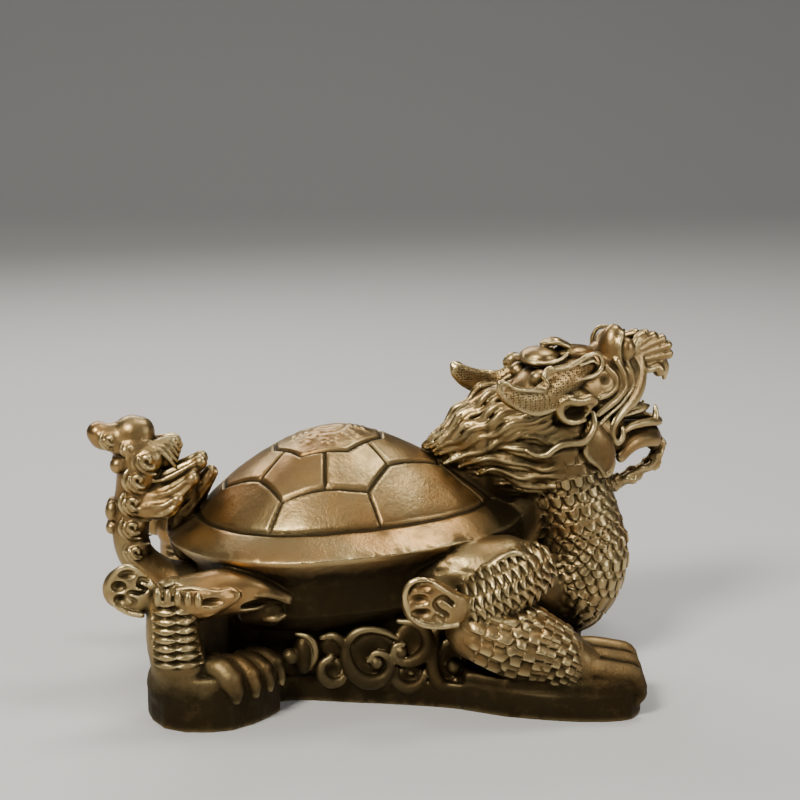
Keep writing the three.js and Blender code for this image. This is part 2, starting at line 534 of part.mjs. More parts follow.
// A closed mesh that can lose corners: its points, its facets and the facets round each point.
class LightMesh {
  constructor(body) {
    const { vertProperties, triVerts } = body.getMesh();
    const geometry = new THREE.BufferGeometry();
    geometry.setAttribute('position', new THREE.BufferAttribute(vertProperties, 3));
    geometry.setIndex(new THREE.BufferAttribute(triVerts, 1));
    const merged = mergeVertices(geometry, SAME_PLACE);
    const position = merged.attributes.position;
    this.points = Array.from({ length: position.count }, (_, i) => (
      new THREE.Vector3().fromBufferAttribute(position, i)
    ));
    const facets = new Map();
    for (const corners of properTriangles(merged.index.array)) {
      const name = corners.toSorted((a, b) => a - b).join();
      // Two facets back to back enclose nothing, so both go.
      if (!facets.delete(name)) facets.set(name, { corners, normal: this.normal(corners) });
    }
    this.facetCount = facets.size;
    this.around = this.points.map(() => new Set());
    for (const facet of facets.values()) for (const corner of facet.corners) this.around[corner].add(facet);
  }

  normal([a, b, c]) {
    const ab = this.points[b].clone().sub(this.points[a]);
    const ac = this.points[c].clone().sub(this.points[a]);
    return ab.cross(ac).normalize();
  }

  neighbours(point) {
    const corners = [...this.around[point]].flatMap((facet) => facet.corners);
    return new Set(corners.filter((corner) => corner !== point));
  }

  // How far the surface would bend if a point slid onto its neighbour.
  bend(point, target) {
    const sides = [...this.around[point]].filter((facet) => facet.corners.includes(target));
    let most = 0;
    for (const { normal } of this.around[point]) {
      most = Math.max(most, Math.min(...sides.map((side) => 1 - normal.dot(side.normal))));
    }
    return most * this.points[point].distanceTo(this.points[target]);
  }

  // Whether the surface would pinch or fold over if a point slid onto its neighbour.
  tears(point, target, near) {
    const common = [...this.neighbours(target)].filter((other) => near.has(other));
    if (common.length !== 2) return true;
    return [...this.around[point]].some(({ corners, normal }) => {
      if (corners.includes(target)) return false;
      const moved = this.normal(corners.map((corner) => (corner === point ? target : corner)));
      return !(moved.dot(normal) > LEAST_ALIGNMENT);
    });
  }

  cheapest(point) {
    const near = this.neighbours(point);
    let best = { cost: Infinity };
    for (const target of near) {
      const cost = this.bend(point, target);
      if (cost < best.cost && !this.tears(point, target, near)) best = { cost, target };
    }
    return best;
  }

  slide(point, target) {
    for (const facet of [...this.around[point]]) {
      if (facet.corners.includes(target)) {
        for (const corner of facet.corners) this.around[corner].delete(facet);
        this.facetCount -= 1;
        continue;
      }
      facet.corners = facet.corners.map((corner) => (corner === point ? target : corner));
      facet.normal = this.normal(facet.corners);
      this.around[target].add(facet);
    }
    this.around[point].clear();
  }

  // Slides points onto their neighbours, the least bends first, until few enough facets are left.
  lighten(mostFacets) {
    const costs = this.points.map((_, point) => this.cheapest(point).cost);
    for (let limit = FIRST_BEND; this.facetCount > mostFacets; limit *= BEND_GROWTH) {
      for (let point = 0; point < costs.length && this.facetCount > mostFacets; point += 1) {
        if (costs[point] > limit) continue;
        const { cost, target } = this.cheapest(point);
        costs[point] = cost;
        if (cost > limit) continue;
        const touched = this.neighbours(point);
        this.slide(point, target);
        costs[point] = Infinity;
        for (const near of touched) costs[near] = this.cheapest(near).cost;
      }
    }
  }

  geometry() {
    const geometry = new THREE.BufferGeometry();
    const facets = new Set(this.around.flatMap((near) => [...near]));
    const corners = [...facets].flatMap((facet) => facet.corners);
    geometry.setFromPoints(corners.map((corner) => this.points[corner]));
    return mergeVertices(geometry, SAME_PLACE);
  }
}

// Aged brass: warm brown-gold with worn bright edges.
const brass = new THREE.MeshStandardMaterial({ color: 0x8f6f3c, roughness: 0.38, metalness: 1 });

const surface = new LightMesh(dragonTurtle());
surface.lighten(MOST_FACETS);
const casting = new THREE.Mesh(surface.geometry(), brass);
casting.name = 'dragon_turtle';

// The figure stands with the middle of its outer sizes over the origin.
const middle = new THREE.Box3().setFromObject(casting).getCenter(new THREE.Vector3());
casting.position.set(-middle.x, -middle.y, 0);

const figure = new THREE.Group();
figure.add(casting);

export default figure;
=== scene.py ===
"""A dragon turtle figure cast in one piece of brass, sculpted on a fine grid and skinned as one mesh.

The sculpt is drawn in millimetres, z up and x towards the head, with x counted from the drawing's own zero.
"""
import math

import bmesh
import bpy
import numpy as np
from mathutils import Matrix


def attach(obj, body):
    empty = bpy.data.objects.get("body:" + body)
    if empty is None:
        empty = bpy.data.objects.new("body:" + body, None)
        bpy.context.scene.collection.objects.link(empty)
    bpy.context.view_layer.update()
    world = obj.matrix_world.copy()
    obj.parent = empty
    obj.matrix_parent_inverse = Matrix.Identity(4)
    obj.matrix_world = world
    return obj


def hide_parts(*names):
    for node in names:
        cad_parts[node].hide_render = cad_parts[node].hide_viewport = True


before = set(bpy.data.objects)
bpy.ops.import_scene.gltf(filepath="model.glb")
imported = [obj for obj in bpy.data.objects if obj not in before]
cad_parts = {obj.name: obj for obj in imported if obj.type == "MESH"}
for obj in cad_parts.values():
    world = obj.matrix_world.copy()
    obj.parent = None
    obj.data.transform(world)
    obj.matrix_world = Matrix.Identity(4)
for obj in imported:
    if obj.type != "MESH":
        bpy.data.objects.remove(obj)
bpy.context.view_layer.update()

import openvdb
from mathutils import Matrix, Vector

STEP = 0.45  # distance between grid points
MOST_FACETS = 194_000
NEAR_GAIN = 0.009  # how fast the finer facets of the right side give way to the left, per mm
BLOCK_LOW, BLOCK_HIGH = (-120, -69, -1), (127, 69, 145)
BELOW_FLOOR = -2  # blocks start here, and the whole is cut off at the floor
NEAR_ROUND, WIDE_ROUND = 2.0, 8.0  # how far round a point its shelter is looked for
# hollow and deep stand for patina and painted shade, under for painted shade
SHADES = ("hollow", "deep", "under", "grooves", "pits", "grain")  # what the finish reads at each point
MIDDLE_X = 3.245  # the figure's middle on the drawing's x axis
FAR = 60.0  # stands for any distance that doesn't matter
MARGIN = 3.0  # how far from a surface its distances are worked out
SIDES = (-1, 1)
UP = np.array([0.0, 0.0, 1.0])
SIDEWAYS = np.array([0.0, 1.0, 0.0])

PLINTH_HEIGHT = 10.0
SHELL_LENGTH = 142.0
SHELL_WIDTH = 114.0
BAND_WIDTH = 12.0
BAND_RISE = 7.5
DOME_RISE = 31.0
BELLY_DROP = 33.0
RIM_CENTRE_X = -27.0
HALVINGS = 26  # of the range in which a point's place inside the rim is sought
REAR_SHARE = 0.4
RIM_REAR_Z = 60.6
RIM_FRONT_Z = 66.3
APEX_X = -12.0
DOME_BULGE = 1.75  # the power of the dome's profile; it bulges more at the rear than in front
FRONT_FLATTER = 0.3
GROOVE_DEPTH, GROOVE_WIDTH = 1.15, 0.62
LIP_HEIGHT, LIP_PLACE, LIP_WIDTH = 0.26, 1.25, 0.5  # of the raised lips along the dome's grooves
ORNAMENT_X = -19.6
ORNAMENT_HEIGHT = 0.45
DISC_RADIUS = 5.2
RING_RADIUS, RING_HALF_WIDTH = 5.9, 0.6
BAR_PLACES = (9.0, 11.4, 13.8)  # of the marks' bars, from the disc's middle
BAR_HALF_WIDTH, BAR_HALF_LENGTH, BAR_HALF_GAP = 0.75, 3.1, 0.7
TURN = math.radians(17)  # of the head, towards the figure's left
HEAD_PIVOT = np.array([80.0, 0.0, 100.0])
HEAD_SIDE = np.array([-math.sin(TURN), math.cos(TURN), 0.0])
NECK = [(50, 0, 44, 17), (65, 0, 33, 17), (78, 0, 32, 17.5), (84, 0, 46, 18), (80.5, 0, 63, 17.5),
        (76, 0, 79, 16.5), (74, 0, 94, 15)]
NECK_RADIUS = 17.5
NECK_ROW = 3.1
NECK_COLUMNS = 20
NECK_END = 400  # further along than the neck's end, so that its rows of scales count downwards
THROAT = 4.2  # half the width of the smooth band down the throat
FOREARM = [(35, 48, 33, 13), (49, 50, 28, 14.5), (62, 53, 24, 11.5), (73, 55, 18, 9)]
FOREARM_GIRTH = 84.0
FOREARM_ROWS = 25
FOREARM_COLUMN = 5.3
SCALE_BLUNT = 2.4  # a higher power gives a scale a squarer tip
SCALE_BEND = 0.9  # how far a scale's corners stand back from its tip, in rows
SCALE_CURVE = 1.4
SCALE_CROWN = 0.25
LID = (13.0, 5.4, 30.6)  # the near eyelid's middle, from the head's pivot
LID_RADII = (5.9, 5.6, 10.6)
MANE_TIP_X = 25
MANE_NEAR_Y = -16  # the mane's near side, which stays where it is when the front turns
# Rows of the solid mane
UPPER_MANE = [(32, 0, 89, 7.4), (46, 0, 93, 12.6), (62, 0, 95, 15.4), (77, 0, 96, 14.8)]
LOWER_MANE = [(30, 0, 83, 4), (40, 0, 84, 8), (52, 0, 84, 11.4), (65, 0, 84, 14.2), (82, 0, 84, 13.6)]


# Places

def drawn(points):
    return points


def in_head(points):
    """Points given as forward of the head's pivot, to its left and above it."""
    forward, left, above = points.T
    return HEAD_PIVOT + np.stack([
        forward * math.cos(TURN) - left * math.sin(TURN),
        forward * math.sin(TURN) + left * math.cos(TURN),
        above,
    ], 1)


def in_mane(points):
    """The mane hangs straight at the back and turns with the head in front."""
    x, y, z = points.T
    turned = np.clip((x - MANE_TIP_X) / (HEAD_PIVOT[0] - MANE_TIP_X), 0, 1)
    return np.stack([x - math.sin(TURN) * (y - MANE_NEAR_Y) * turned, y, z], 1)


# The clay

def smooth_min(a, b, blend):
    share = np.clip(0.5 + 0.5 * (b - a) / blend, 0, 1)
    return b + (a - b) * share - blend * share * (1 - share)


class Clay:
    """A solid as signed distances on an even grid; inside is below zero."""

    def __init__(self, low, high):
        self.low = np.array(low, np.float32)
        counts = np.ceil((np.array(high) - low) / STEP).astype(int) + 1
        self.field = np.full(counts, FAR, np.float32)

    def window(self, low, high):
        """The part of the grid between two corners, and its three axes."""
        first = np.maximum(np.floor((low - self.low) / STEP).astype(int), 0)
        last = np.minimum(np.ceil((high - self.low) / STEP).astype(int) + 1, self.field.shape)
        part = tuple(slice(a, b) for a, b in zip(first, last))
        axes = [self.low[i] + STEP * np.arange(first[i], last[i], dtype=np.float32) for i in range(3)]
        return part, np.meshgrid(*axes, indexing="ij", sparse=True)

    def add(self, part, distance, blend):
        self.field[part] = smooth_min(self.field[part], distance, blend)

    def carve(self, part, distance, blend):
        self.field[part] = -smooth_min(-self.field[part], distance, blend)


def smooth_path(rows):
    """Points along a centripetal Catmull-Rom curve through rows of x, y, z and radius."""
    rows = np.array(rows, float)
    ends = [2 * rows[0] - rows[1], *rows, 2 * rows[-1] - rows[-2]]
    points = []
    for p0, p1, p2, p3 in zip(ends, ends[1:], ends[2:], ends[3:]):
        d0, d1, d2 = (max(np.linalg.norm((b - a)[:3]), 1e-6) ** 0.5 for a, b in ((p0, p1), (p1, p2),
                                                                                 (p2, p3)))
        m1 = ((p1 - p0) / d0 - (p2 - p0) / (d0 + d1) + (p2 - p1) / d1) * d1
        m2 = ((p2 - p1) / d1 - (p3 - p1) / (d1 + d2) + (p3 - p2) / d2) * d1
        pieces = int(np.clip(np.ceil(d1 * d1 / (0.35 * min(p1[3], p2[3]) + 0.5)), 2, 12))
        t = (np.arange(pieces) / pieces)[:, None]
        square, cube = -3 * p1 + 3 * p2 - 2 * m1 - m2, 2 * p1 - 2 * p2 + m1 + m2
        points.append(p1 + m1 * t + square * t**2 + cube * t**3)
    return np.vstack([*points, rows[-1:]])


def limb(clay, rows, place=drawn, flat=1.0, face=SIDEWAYS, blend=0.8, skin=None, carve=False):
    """A round bar along a smooth path; rows are x, y, z, radius.

    It is thinner by the share flat along the direction face. A skin gives the relief on it, from the length
    along it, the turn round it and the place.
    """
    path = smooth_path(rows)
    points, radii = place(path[:, :3]), np.maximum(path[:, 3], 0.05)
    reach = radii.max() + MARGIN
    part, axes = clay.window(points.min(0) - reach, points.max(0) + reach)
    starts = [axis.ravel()[0] for axis in axes]
    shape = tuple(axis.size for axis in axes)
    if 0 in shape:
        return
    nearest = np.full(shape, FAR, np.float32)
    if skin:
        along, wide_part, thin_part = (np.zeros(shape, np.float32) for _ in range(3))
    thin = np.array(face, float)
    travelled = 0.0
    for i in range(len(points) - 1):
        a, step = points[i], points[i + 1] - points[i]
        length = np.linalg.norm(step)
        tangent = step / length
        thin = thin - tangent * (thin @ tangent)
        thin /= np.linalg.norm(thin)
        wide = np.cross(tangent, thin)
        reach = max(radii[i], radii[i + 1]) + MARGIN
        first = [max(int((min(a[k], a[k] + step[k]) - reach - starts[k]) / STEP), 0) for k in range(3)]
        last = [int((max(a[k], a[k] + step[k]) + reach - starts[k]) / STEP) + 2 for k in range(3)]
        box = tuple(slice(f, e) for f, e in zip(first, last))
        x, y, z = (axis.ravel()[cut].reshape([-1 if k == j else 1 for j in range(3)]) - np.float32(a[k])
                   for k, (axis, cut) in enumerate(zip(axes, box)))
        if not (x.size and y.size and z.size):
            travelled += length
            continue

        def dot(vector):
            vx, vy, vz = (np.float32(v) for v in vector)
            return (x * vx + y * vy) + z * vz

        ahead = dot(tangent)
        t = np.clip(ahead, 0, np.float32(length))
        off = (x * x + y * y) + z * z - t * (2 * ahead - t)
        radius = np.float32(radii[i]) + t * np.float32((radii[i + 1] - radii[i]) / length)
        if flat == 1:
            distance = np.sqrt(np.maximum(off, 0)) - radius
        else:
            squeezed = dot(thin) ** 2
            near = np.sqrt(np.maximum(off + squeezed * np.float32(flat**-2 - 1), 1e-6))
            steep = np.sqrt(np.maximum(off + squeezed * np.float32(flat**-4 - 1), 1e-6))
            distance = near * (near - radius) / steep
        closer = distance < nearest[box]
        np.copyto(nearest[box], distance, where=closer)
        if skin:
            np.copyto(along[box], travelled + t, where=closer)
            np.copyto(wide_part[box], dot(wide), where=closer)
            np.copyto(thin_part[box], dot(thin) / np.float32(flat), where=closer)
        travelled += length
    if skin:
        close = np.abs(nearest) < MARGIN
        where = [np.broadcast_to(axis, shape)[close] for axis in axes]
        turn = np.arctan2(thin_part[close], wide_part[close])
        nearest[close] -= skin(along[close], turn, *where)
    (clay.carve if carve else clay.add)(part, nearest, blend)


def mirrored(*bars):
    """Each bar's rows on the right side and on the left; y is given as the distance out from the middle."""
    return [[(x, side * y, z, radius) for x, y, z, radius in rows] for side in SIDES for rows in bars]


def both(clay, rows, place=drawn, **options):
    """The same bar on both sides."""
    for row_set in mirrored(rows):
        limb(clay, row_set, place, **options)


def ball(clay, centre, radii, place=drawn, turn=0.0, blend=0.8, carve=False):
    """An oval ball; its radii are forward, sideways and up, turned about the vertical."""
    centre = place(np.array([centre], float))[0]
    radii = np.array(radii, float) if np.ndim(radii) else np.full(3, float(radii))
    reach = radii.max() + MARGIN
    part, (x, y, z) = clay.window(centre - reach, centre + reach)
    x, y, z = x - centre[0], y - centre[1], z - centre[2]
    forward = x * math.cos(turn) + y * math.sin(turn)
    sideways = y * math.cos(turn) - x * math.sin(turn)
    near = np.sqrt((forward / radii[0])**2 + (sideways / radii[1])**2 + (z / radii[2])**2 + 1e-6)
    steep = np.sqrt((forward / radii[0]**2)**2 + (sideways / radii[1]**2)**2 + (z / radii[2]**2)**2 + 1e-9)
    distance = (near * (near - 1) / steep).astype(np.float32)
    (clay.carve if carve else clay.add)(part, distance, blend)


def both_balls(clay, centre, radii, place=drawn, turn=0.0, **options):
    for side in SIDES:
        ball(clay, (centre[0], side * centre[1], centre[2]), radii, place, turn, **options)


# Reliefs

def ramp(value, low, high):
    share = np.clip((value - low) / (high - low), 0, 1)
    return share * share * (3 - 2 * share)


def waviness(x, y, z, length):
    """A gentle, even unevenness between about -1 and 1."""
    k = 2 * math.pi / length
    return (np.sin(k * (x + 0.4 * y) + 1.3) * np.sin(k * (0.9 * z - 0.5 * x) + 0.4)
            + np.sin(k * (0.8 * y + 0.6 * z) + 2.1) * np.sin(k * 1.3 * x + 0.7)) / 2


def scales(down, across, length, width, depth, blunt=SCALE_BLUNT, bend=SCALE_BEND):
    """Overlapping scales in rows a length apart, tips down, each a width across, with a groove below."""
    row = np.floor(down / length)
    relief = 0
    for back in (0, 1):
        index = row - back
        from_root = np.maximum(down - index * length, 0)
        aside = np.abs((across / width + 0.5 * np.mod(index, 2) + 0.5) % 1.0 - 0.5) * 2
        edge = length * (2 - bend * aside**blunt)
        height = depth * ((from_root / (2 * length))**SCALE_CURVE + SCALE_CROWN * (1 - aside**2))
        if back:
            slant = np.sqrt(1 + (2 * bend * blunt * length / width * aside**(blunt - 1))**2)
            beyond = (from_root - edge) / slant
            relief = relief - 0.3 * depth * np.exp(-((beyond - 0.4) / 0.5)**2)
            cover = ramp(-beyond, -0.3, 0.3)
            relief = relief * (1 - cover) + height * cover
        else:
            relief = height
    return relief - 0.4 * depth


def hair(strands, depth, wave=0.35, length=24.0):
    """A skin of wavy strands that run along a bar."""
    def skin(along, turn, x, y, z):
        phase = strands * turn + wave * strands * np.sin(2 * math.pi * along / length + 2 * turn) \
            + 0.6 * np.sin(2 * math.pi * along / (0.37 * length) + 3 * turn)
        return depth * (np.abs(np.cos(phase / 2)) - 0.6)
    return skin


# The shell

def rim_height(x):
    rear = RIM_CENTRE_X - REAR_SHARE * SHELL_LENGTH
    return RIM_REAR_Z + (RIM_FRONT_Z - RIM_REAR_Z) * (x - rear) / SHELL_LENGTH


def rim_inset(x, y):
    """How far inside the rim a point lies, by the egg outline that runs through it."""
    reach = np.where(x > RIM_CENTRE_X, 1 - REAR_SHARE, REAR_SHARE) * SHELL_LENGTH
    low = np.full(x.shape, -40.0)
    high = np.full(x.shape, REAR_SHARE * SHELL_LENGTH - 1e-3)
    for _ in range(HALVINGS):
        middle = (low + high) / 2
        beyond = ((x - RIM_CENTRE_X) / (reach - middle))**2 + (y / (SHELL_WIDTH / 2 - middle))**2 > 1
        beyond |= middle > SHELL_WIDTH / 2 - 1e-3
        high = np.where(beyond, middle, high)
        low = np.where(beyond, low, middle)
    return (low + high) / 2


def dome_share(x, y):
    """The share of the way from the apex to the seam at which a point lies, and how far forward it points."""
    dx, dy = x - APEX_X, np.abs(y) + 1e-6
    away = APEX_X - RIM_CENTRE_X
    width = SHELL_WIDTH / 2 - BAND_WIDTH
    shares = []
    for reach in (1 - REAR_SHARE, REAR_SHARE):
        length = SHELL_LENGTH * reach - BAND_WIDTH
        a = (dx / length)**2 + (dy / width)**2
        b = away * dx / length**2
        c = (away / length)**2 - 1
        shares.append(a / (-b + np.sqrt(b * b - a * c)))
    crosses_in_front = APEX_X + dx / shares[0] >= RIM_CENTRE_X
    return np.where(crosses_in_front, *shares), dx / np.hypot(dx, dy)


def distance_to_lines(x, y, lines):
    """The least distance of each point in plan to any of the straight lines."""
    least = np.full(x.shape, FAR)
    for (ax, ay), (bx, by) in lines:
        dx, dy = bx - ax, by - ay
        t = np.clip(((x - ax) * dx + (y - ay) * dy) / (dx * dx + dy * dy), 0, 1)
        least = np.minimum(least, np.hypot(x - ax - t * dx, y - ay - t * dy))
    return least


# Plate corners on the dome's right half; the left half mirrors them.
PLATE_CORNERS = {
    "topRear": (-40.4, -5.8), "topRearSide": (-31, -18), "topFrontSide": (-13, -18), "topFront": (1, -6.1),
    "rearBranch": (-37, -11), "rearFork": (-46.8, -20.4), "rearMiddle": (-60.5, -7),
    "sideRear": (-38.7, -33.5), "sideFork": (-22.3, -32.4), "sideBranch": (-21.7, -18.3),
    "sideFront": (-5.8, -32), "frontFork": (2.7, -20.4), "frontBranch": (-4, -12.5),
    "frontMiddle": (23.5, -8), "rimFront": (43, -17.5), "rimRear": (-45, -42.5), "rimMiddle": (-0.5, -44.5),
}
PLATE_SEAMS = (
    ("topRear", "topRearSide", "topFrontSide", "topFront"),
    ("rearBranch", "rearFork", "rearMiddle"),
    ("rearFork", "sideRear", "sideFork", "sideFront", "frontFork", "frontMiddle", "rimFront"),
    ("sideBranch", "sideFork"),
    ("frontBranch", "frontFork"),
    ("sideRear", "rimRear"),
    ("sideFront", "rimMiddle"),
)
MIDDLE_SEAMS = ("topRear", "topFront", "rearMiddle", "frontMiddle")


def plate_lines():
    lines = []
    for side in SIDES:
        for seam in PLATE_SEAMS:
            corners = [(PLATE_CORNERS[name][0], side * PLATE_CORNERS[name][1]) for name in seam]
            lines += zip(corners, corners[1:])
    for name in MIDDLE_SEAMS:
        x, y = PLATE_CORNERS[name]
        lines.append(((x, y), (x, -y)))
    return lines


def soft(inward):
    """One inside an edge and nothing outside it, with a short slope between."""
    return ramp(inward, -0.2, 0.2)


def trigram_ring(x, y):
    """Raised ornament on the top plate: a swirled disc in a ring of eight marks of whole and broken bars."""
    x = x - ORNAMENT_X
    away, angle = np.hypot(x, y), np.arctan2(y, x)
    sector = np.round(angle / (math.pi / 4))
    turned = angle - sector * math.pi / 4
    out, aside = away * np.cos(turned), away * np.sin(turned)
    raised = np.zeros(x.shape)
    for bar, middle in enumerate(BAR_PLACES):
        broken = (sector.astype(int) % 8 >> bar) & 1
        inside = soft(BAR_HALF_WIDTH - np.abs(out - middle)) * soft(BAR_HALF_LENGTH - np.abs(aside))
        raised = np.maximum(raised, inside * np.where(broken, soft(np.abs(aside) - BAR_HALF_GAP), 1))
    swirl = np.hypot(x, y - DISC_RADIUS / 2 * np.sign(x)) < DISC_RADIUS / 2
    half = np.where(swirl, x > 0, y > 0) & (away < DISC_RADIUS)
    ring = soft(RING_HALF_WIDTH - np.abs(away - RING_RADIUS))
    return np.maximum.reduce([raised, ring, 0.8 * half])


def outline_gap(x, y, corners):
    """Signed distances to a closed outline in plan; inside is below zero."""
    loop = list(zip(corners, corners[1:] + corners[:1]))
    gap = distance_to_lines(x, y, loop)
    inside = np.zeros(gap.shape, bool)
    for (ax, ay), (bx, by) in loop:
        if ay != by:
            crossing = (y >= min(ay, by)) & (y < max(ay, by))
            inside ^= crossing & (x < ax + (y - ay) / (by - ay) * (bx - ax))
    return np.where(inside, -gap, gap)


def shell(clay):
    """Dome, seam, band, rim, undercut and the belly's side."""
    half = SHELL_WIDTH / 2 + 4
    part, (x, y, z) = clay.window([RIM_CENTRE_X - 62, -half, 20], [RIM_CENTRE_X + 91, half, 108])
    flat_x, flat_y = np.broadcast_arrays(x[:, :, 0], y[:, :, 0])
    flat_x, flat_y = flat_x.astype(float), flat_y.astype(float)
    inset = rim_inset(flat_x, flat_y)
    rim = rim_height(flat_x)
    share, forward = dome_share(flat_x, flat_y)
    seam_gap = distance_to_lines(flat_x, flat_y, plate_lines())
    relief = -GROOVE_DEPTH * np.exp(-(seam_gap / GROOVE_WIDTH)**2)
    relief += LIP_HEIGHT * np.exp(-((seam_gap - LIP_PLACE) / LIP_WIDTH)**2)
    relief += ORNAMENT_HEIGHT * trigram_ring(flat_x, flat_y)
    relief += 0.14 * waviness(flat_x, flat_y, 0 * flat_x, 19) + 0.07 * waviness(flat_y, flat_x, 0 * flat_x, 8)
    bulge = DOME_BULGE - FRONT_FLATTER * forward
    height = rim + BAND_RISE + DOME_RISE * (1 - np.minimum(share, 1.2)**bulge) + relief
    slope = np.hypot(*np.gradient(height, STEP))
    dome = (z - height[:, :, None]) / np.sqrt(1 + np.minimum(slope, 1.5)**2)[:, :, None]
    dome = np.maximum(dome, (BAND_WIDTH + 0.9 - inset)[:, :, None])
    dome = np.maximum(dome, (rim - 4)[:, :, None] - z).astype(np.float32)

    outline = [(0, 0), (BAND_WIDTH, BAND_RISE), (56, BAND_RISE), (56, -BELLY_DROP), (19, -BELLY_DROP),
               (12, -25), (11, -12.5), (9, -9.5), (1, -2)]
    low, high, step = (-12.0, -46.0), (57.0, 24.0), 0.25
    across, upward = np.arange(low[0], high[0], step)[:, None], np.arange(low[1], high[1], step)[None, :]
    table = outline_gap(across + 0 * upward, upward + 0 * across, outline).astype(np.float32)
    row = np.clip((inset - low[0]) / step, 0, table.shape[0] - 1.01)[:, :, None]
    column = np.clip((z - rim_height(x) - low[1]) / step, 0, table.shape[1] - 1.01)
    i, j = row.astype(int), column.astype(int)
    u, v = (row - i).astype(np.float32), (column - j).astype(np.float32)
    lower, upper = (table[i, k] * (1 - u) + table[i + 1, k] * u for k in (j, j + 1))
    body = lower * (1 - v) + upper * v
    whole = smooth_min(body, dome, 0.3)
    seam = 0.9 * np.exp(-((inset - BAND_WIDTH - 0.2) / 0.85)**2)
    uneven = 0.12 * waviness(flat_x, flat_y, 0 * flat_x, 23)
    whole += (seam + uneven)[:, :, None] * ramp(z - rim_height(x), 2, 5)
    clay.add(part, whole, 0.8)


# Plinth, core and clouds

PLINTH_OUTLINE = (
    (-82, -14), (-91, -34), (-86, -52), (-67, -61.5), (-50, -53), (-40, -34), (-12, -37.5), (26, -47),
    (46, -57), (70, -64), (90, -63.5), (97, -52), (92, -38), (86, -16),
)
CORE_OUTLINE = ((-78, 16), (-60, 30), (-36, 32), (10, 36), (40, 36), (60, 24), (68, 0))


def slab(clay, corners, bottom, top, blend, edge):
    """An upright block over a closed outline, its edges rounded."""
    flat = np.array(corners)
    low, high = [*(flat.min(0) - MARGIN), bottom - MARGIN], [*(flat.max(0) + MARGIN), top + MARGIN]
    part, (x, y, z) = clay.window(low, high)
    flat_x, flat_y = np.broadcast_arrays(x[:, :, 0], y[:, :, 0])
    side = outline_gap(flat_x, flat_y, corners)[:, :, None]
    height = np.maximum(bottom - z, z - top)
    whole = -smooth_min(-side, -height, edge).astype(np.float32)
    clay.add(part, whole, blend)


def both_slabs(clay, corners, top, blend, edge):
    """The same block on both sides, from below the floor up."""
    for side in SIDES:
        slab(clay, [(x, side * y) for x, y in corners], BELOW_FLOOR, top, blend, edge)


def plinth(clay):
    half = [(x, y, 0, 1) for x, y in PLINTH_OUTLINE]
    loop = half + [(x, -y, 0, 1) for x, y, _, _ in reversed(half)]
    closed = smooth_path(loop[-3:] + loop + loop[:3])
    corners = [tuple(p) for p in closed[:, :2]]
    first = min(range(len(corners)), key=lambda i: math.dist(corners[i], loop[0][:2]))
    last = max(range(first + 8, len(corners)), key=lambda i: -math.dist(corners[i], loop[0][:2]))
    slab(clay, corners[first:last], BELOW_FLOOR, PLINTH_HEIGHT, 0.8, 1.0)


def core(clay):
    outline = list(CORE_OUTLINE) + [(x, -y) for x, y in reversed(CORE_OUTLINE[:-1])]
    slab(clay, outline, 2, 38, 1.5, 2.0)


